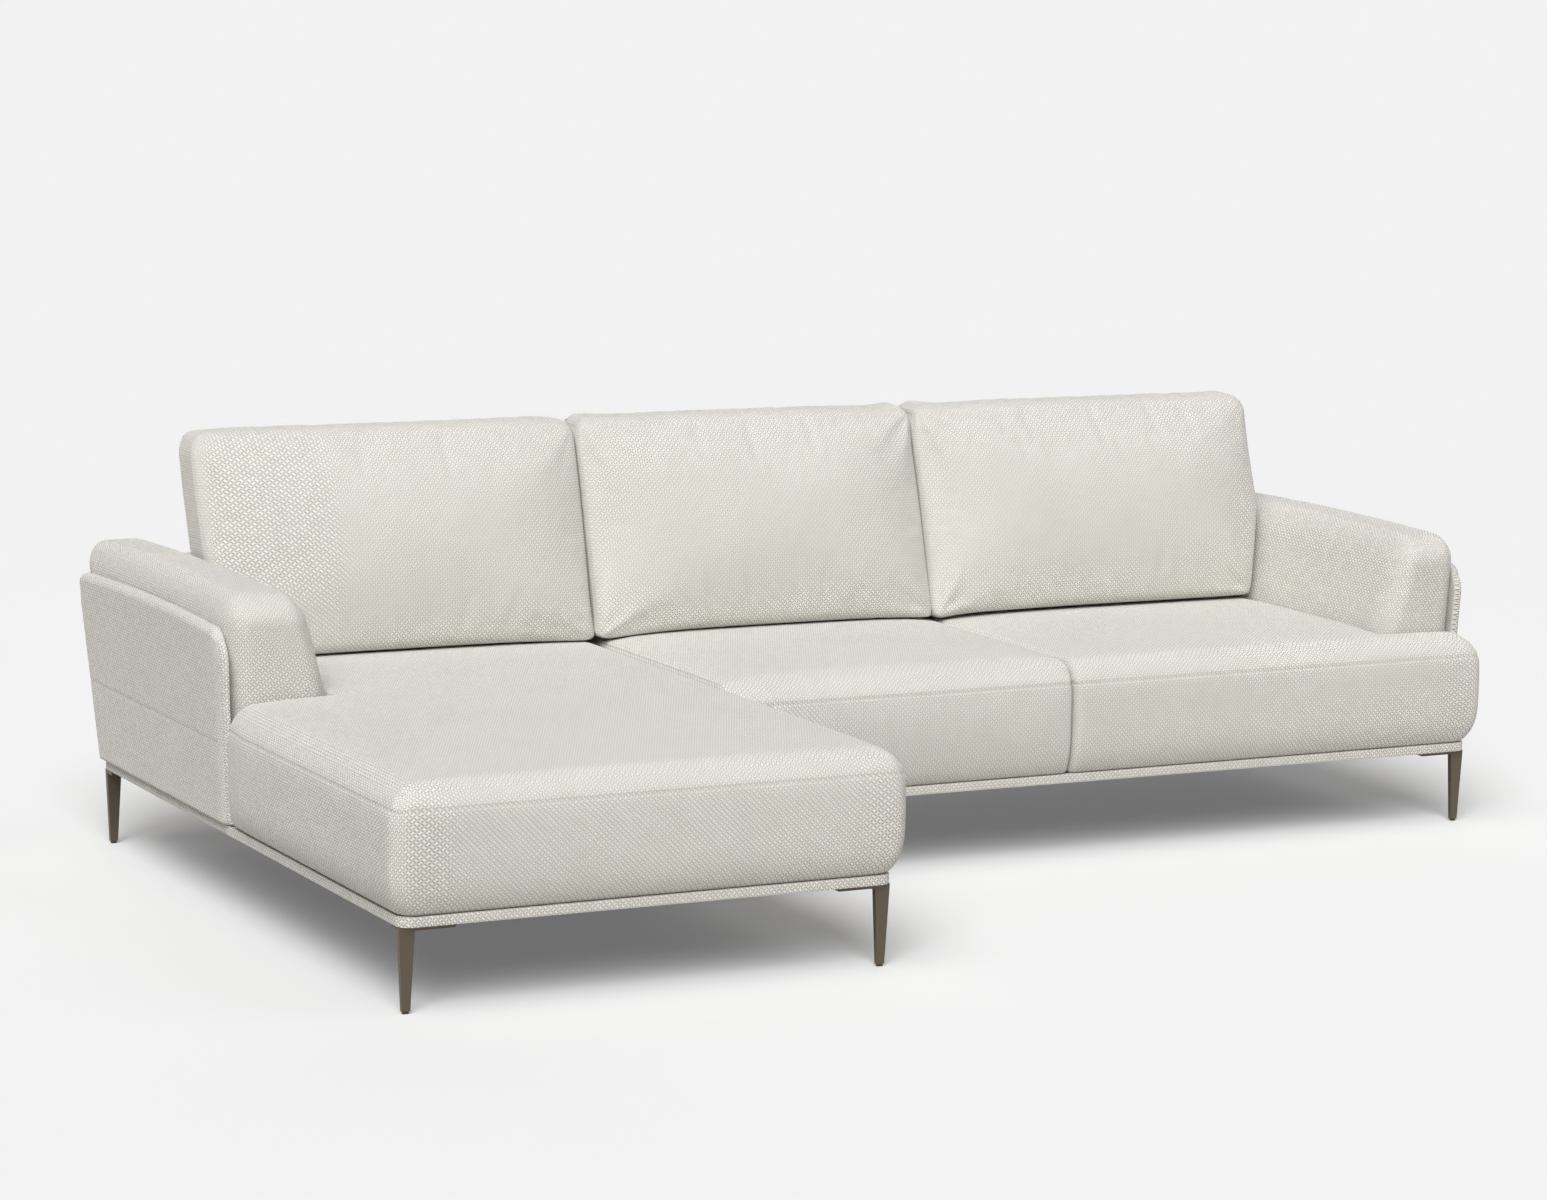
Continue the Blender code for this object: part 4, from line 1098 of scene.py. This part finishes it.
def make_back(prefix, unit, width, seams):
    """Back pad in front of and over the board, and the rear panel with its sewn lines."""
    near = ARM_WIDTH + GAP
    low = (near, BACK_FACE, PAD_LOW)
    high = (width, BACK_INNER - GAP, BACK_TOP)
    radii = ((BACK_SIDE_EDGE, BACK_EDGE, 0.0), (BACK_SIDE_EDGE, BACK_EDGE / 2, BACK_EDGE))

    def pad_shape(points):
        x, y, z = soften(points, [(low, high, *radii)]).T
        follow = (arm_flare(z) + arm_taper(z)) * (1 - ramp(x, near, 2 * near))
        return np.stack((x - follow, y + back_lean(z), z), 1)

    make_padding(f"{prefix}_back_cushioning", unit, [(low, high)], BACK_PAD_STEP, (1, -1),
                 pad_shape, f"{prefix}_back_pad", 0.9)

    start = PANEL_INNER + GAP
    box = ((start, BACK_INNER, SKIRT_LOW), (width, DEPTH, BACK_PANEL_TOP))

    def panel_shape(points):
        x, y, z = soften(points, [(*box, *REAR_PANEL_RADII)]).T
        follow = arm_flare(z) * (1 - ramp(x, start, near))
        return np.stack((x - follow, y + back_lean(z), z), 1)

    lines = [[(x, DEPTH, PANEL_SEAM) for x in (start + REAR_SEAM_END, width - REAR_SEAM_END)]]
    lines += [[(x, DEPTH, z) for z in (SKIRT_LOW, BACK_PANEL_TOP)] for x in seams]
    make_padding(f"{prefix}_rear_panel", unit, [box], REAR_PANEL_STEP, (1, 1), panel_shape,
                 f"{prefix}_back_panel", 0.95, lines, REAR_PANEL_STITCH)


class SOFA_OT_backs(bpy.types.Operator):
    """Make the upholstered back of both units"""

    bl_idname = "sofa.backs"
    bl_label = "Backs"

    def execute(self, context):
        hopsack_cloth(context.scene.sofa_upholstery)
        make_back("chaise", CHAISE, CHAISE_WIDTH, ())
        make_back("sofa", SOFA, SOFA_WIDTH, (SEAT_SPLIT,))
        return {"FINISHED"}


def make_base(prefix, unit, width, front, lining):
    """Upholstered tray: rounded band with a tucked edge, open on top, lined underneath."""
    base = add_block(f"{prefix}_base", (0, front, FOOT_RISE), (width, DEPTH, BAND_TOP))
    heights = points_of(base)[:, 2]
    upright = [np.ptp(heights[list(edge.vertices)]) > GAP for edge in base.data.edges]
    edit(base, upright, bpy.ops.mesh.bevel, "EDGE", offset=BASE_CORNER, offset_type="OFFSET",
         segments=8, profile=0.5)
    _, normals = face_arrays(base)
    edit(base, normals[:, 2] > 0.9, bpy.ops.mesh.inset, thickness=BASE_WALL, depth=0.0)
    edit(base, None, bpy.ops.mesh.extrude_region_move,
         TRANSFORM_OT_translate={"value": (0, 0, -BASE_FLOOR_DROP)})
    centres, normals = face_arrays(base)
    edit(base, (normals[:, 2] < -0.9) & (centres[:, 2] < FOOT_RISE + GAP), bpy.ops.mesh.inset,
         thickness=BASE_LINING_EDGE, depth=0.0)
    edit(base, None, bpy.ops.mesh.inset, thickness=BASE_TUCK[0], depth=BASE_TUCK[1])
    finish_with(base, "BEVEL", width=BASE_EDGE, segments=4, limit_method="ANGLE",
                angle_limit=math.radians(50), harden_normals=False)
    lay_cloth(base, 1, -1)
    cover(base, unit, f"{prefix}_base_band")
    base.data.materials.append(lining)
    centres, normals = face_arrays(base)
    rise = centres[:, 2] - FOOT_RISE
    lined = (normals[:, 2] < -0.5) & (rise > 0.0003) & (rise < 0.002)
    base.data.polygons.foreach_set("material_index", lined.astype(np.int32))
    only(base)
    bpy.ops.object.shade_smooth_by_angle(angle=math.radians(35))


class SOFA_OT_bases(bpy.types.Operator):
    """Make the upholstered base of both units"""

    bl_idname = "sofa.bases"
    bl_label = "Bases"

    def execute(self, context):
        hopsack_cloth(context.scene.sofa_upholstery)
        lining = spunbond_lining()
        make_base("chaise", CHAISE, CHAISE_WIDTH, 0.0, lining)
        make_base("sofa", SOFA, SOFA_WIDTH, SETBACK, lining)
        return {"FINISHED"}


def make_first_leg(bevel):
    """Blade leg with its top plate, at the chaise's outer front corner, in plan coordinates."""
    left = LEG_SIDE_INSET
    fore = LEG_FRONT_INSET
    top = FOOT_RISE - GAP
    plate_low = top - LEG_PLATE_THICKNESS
    leg = add_block("leg", (left, fore, GLIDE_HEIGHT),
                    (left + LEG_WIDTH, fore + LEG_DEPTH, plate_low + LEG_IN_PLATE))
    centres, _ = face_arrays(leg)
    foot = (left + LEG_WIDTH / 2, fore + LEG_DEPTH / 2, GLIDE_HEIGHT)
    edit(leg, centres[:, 2] < GLIDE_HEIGHT + GAP, bpy.ops.transform.resize,
         value=(LEG_FOOT_SHARE, 0.5 + LEG_FOOT_SHARE / 2, 1.0), center_override=foot)
    plate = add_block("leg_plate", (left, fore, plate_low),
                      (left + LEG_PLATE_LENGTH, fore + LEG_PLATE_DEPTH, top))
    points = points_of(plate)
    under_end = (points[:, 0] > left + LEG_PLATE_LENGTH / 2) & (points[:, 2] < plate_low + GAP)
    points[under_end, 0] -= LEG_PLATE_CHAMFER
    set_points(plate, points)
    finish_with(leg, "BOOLEAN", operation="UNION", object=plate, solver="EXACT")
    bpy.data.objects.remove(plate)
    finish_with(leg, "BEVEL", width=bevel, segments=3, limit_method="ANGLE",
                angle_limit=math.radians(25))
    return leg


class SOFA_OT_legs(bpy.types.Operator):
    """Make the eight tapered legs"""

    bl_idname = "sofa.legs"
    bl_label = "Legs"

    def execute(self, context):
        settings = context.scene.sofa_hardware
        steel = coated_steel(settings)
        first = make_first_leg(settings.leg_bevel)
        template = points_of(first)
        units = {"chaise": (*CHAISE, CHAISE_WIDTH, 0.0), "sofa": (*SOFA, SOFA_WIDTH, SETBACK)}
        for (prefix, unit), end, where in product(units.items(), ("front", "rear"),
                                                  ("outer", "inner")):
            body, side, width, front = unit
            leg = first.copy()
            leg.data = first.data.copy()
            leg.name = leg.data.name = f"{prefix}_{end}_{where}_leg"
            context.scene.collection.objects.link(leg)
            points = template.copy()
            points[:, 1] = DEPTH - points[:, 1] if end == "rear" else points[:, 1] + front
            if where == "inner":
                points[:, 0] = width - points[:, 0]
            set_points(leg, points)
            if (end == "rear") != (where == "inner"):
                flip(leg)
            place(leg, side)
            dress(leg, body, "bronze", steel, f"{prefix}_leg_{end}_{where}")
            bpy.ops.object.shade_smooth_by_angle(angle=math.radians(30))
        bpy.data.objects.remove(first)
        return {"FINISHED"}


class SOFA_OT_hidden_parts(bpy.types.Operator):
    """Give the frame, webbing, plates and glides their real finishes"""

    bl_idname = "sofa.hidden_parts"
    bl_label = "Frame, webbing, plates and glides"

    def execute(self, context):
        finishes = {"timber": sawn_spruce(), "webbing": elastic_webbing(), "steel": zinc_plate(),
                    "glide": moulded_nylon()}
        slots = {part["node"]: part["material_slot"] for part in frame["record"]["subparts"]}
        for name, piece in frame["nodes"].items():
            if slots[name] in finishes and not piece.hide_render:
                for slot in piece.material_slots:
                    slot.material = finishes[slots[name]]
        return {"FINISHED"}


def add_lamp(name, azimuth, elevation, spread, power, hex_color):
    """Far, even and soft lamp; azimuth turns from the front toward the right."""
    flat = math.cos(elevation)
    away = Vector((math.sin(azimuth) * flat, -math.cos(azimuth) * flat, math.sin(elevation)))
    bpy.ops.object.light_add(type="SUN", location=away * LAMP_DISTANCE)
    lamp = bpy.context.object
    lamp.name = name
    lamp.data.energy = power
    lamp.data.angle = spread
    lamp.data.color = linear(hex_color)[:3]
    lamp.rotation_euler = (-away).to_track_quat("-Z", "Y").to_euler()


class SOFA_OT_studio(bpy.types.Operator):
    """Set up the floor, the lamps, the even surround and the camera"""

    bl_idname = "sofa.studio"
    bl_label = "Studio"

    def execute(self, context):
        settings = context.scene.sofa_studio
        bpy.ops.object.select_all(action="DESELECT")
        bpy.ops.mesh.primitive_circle_add(vertices=128, radius=FLOOR_RADIUS, fill_type="NGON")
        floor = context.object
        floor.name = "studio_floor"
        floor.data.materials.append(studio_floor(settings))
        world = context.scene.world or bpy.data.worlds.new("studio")
        context.scene.world = world
        world.use_nodes = True
        tree = world.node_tree
        tree.nodes.clear()
        direct = seen_directly(tree)
        surround, backdrop = (
            node(tree, "Background", {"Color": color, "Strength": power})[0]
            for color, power in (((1, 1, 1, 1), settings.sky),
                                 (linear(settings.backdrop_color), 1.0)))
        mixed = node(tree, "MixShader", (direct, surround, backdrop))[0]
        node(tree, "OutputWorld", (mixed,))
        add_lamp("key_lamp", settings.key_azimuth, settings.key_elevation, settings.key_spread,
                 settings.key_lamp, settings.key_color)
        for name, *angles in SOFT_LAMPS:
            add_lamp(name, *map(math.radians, angles), getattr(settings, name), "#FFFFFF")
        bpy.ops.object.camera_add()
        camera = context.object
        camera.name = "camera"
        at = Vector(settings.camera_plan) + Vector((-BASE_END, FRONT_Y, 0.0))
        camera.matrix_world = (Matrix.Translation(at)
                               @ Matrix.Rotation(-settings.camera_yaw, 4, "Z")
                               @ Matrix.Rotation(math.pi / 2 - settings.camera_pitch, 4, "X")
                               @ Matrix.Rotation(settings.camera_roll, 4, "Z"))
        camera.data.sensor_width = SENSOR_WIDTH
        camera.data.lens = settings.focal_length
        camera.data.clip_end = VIEW_END
        context.scene.camera = camera
        context.scene.view_settings.view_transform = "Standard"
        return {"FINISHED"}


OPERATORS = (SOFA_OT_bases, SOFA_OT_legs, SOFA_OT_seats, SOFA_OT_arms, SOFA_OT_backs,
             SOFA_OT_cushions, SOFA_OT_hidden_parts, SOFA_OT_studio)
GROUPS = {"sofa_upholstery": SofaUpholstery, "sofa_hardware": SofaHardware,
          "sofa_studio": SofaStudio}


class SOFA_PT_panel(bpy.types.Panel):
    """Sizes, colours and steps of the sofa"""

    bl_label = "Sectional Sofa"
    bl_idname = "SOFA_PT_panel"
    bl_space_type = "VIEW_3D"
    bl_region_type = "UI"
    bl_category = "Sofa"

    def draw(self, context):
        for group_name, group in GROUPS.items():
            box = self.layout.box()
            settings = getattr(context.scene, group_name)
            for name in group.__annotations__:
                box.prop(settings, name)
        for operator in OPERATORS:
            self.layout.operator(operator.bl_idname)


def register():
    for group_name, group in GROUPS.items():
        bpy.utils.register_class(group)
        setattr(bpy.types.Scene, group_name, bpy.props.PointerProperty(type=group))
    for item in (*OPERATORS, SOFA_PT_panel):
        bpy.utils.register_class(item)


def unregister():
    for item in (SOFA_PT_panel, *reversed(OPERATORS)):
        bpy.utils.unregister_class(item)
    for group_name, group in GROUPS.items():
        delattr(bpy.types.Scene, group_name)
        bpy.utils.unregister_class(group)


def main():
    register()
    sofa = bpy.ops.sofa
    for step in (sofa.bases, sofa.legs, sofa.seats, sofa.arms, sofa.backs, sofa.cushions,
                 sofa.hidden_parts, sofa.studio):
        step()


if __name__ == "__main__":
    main()
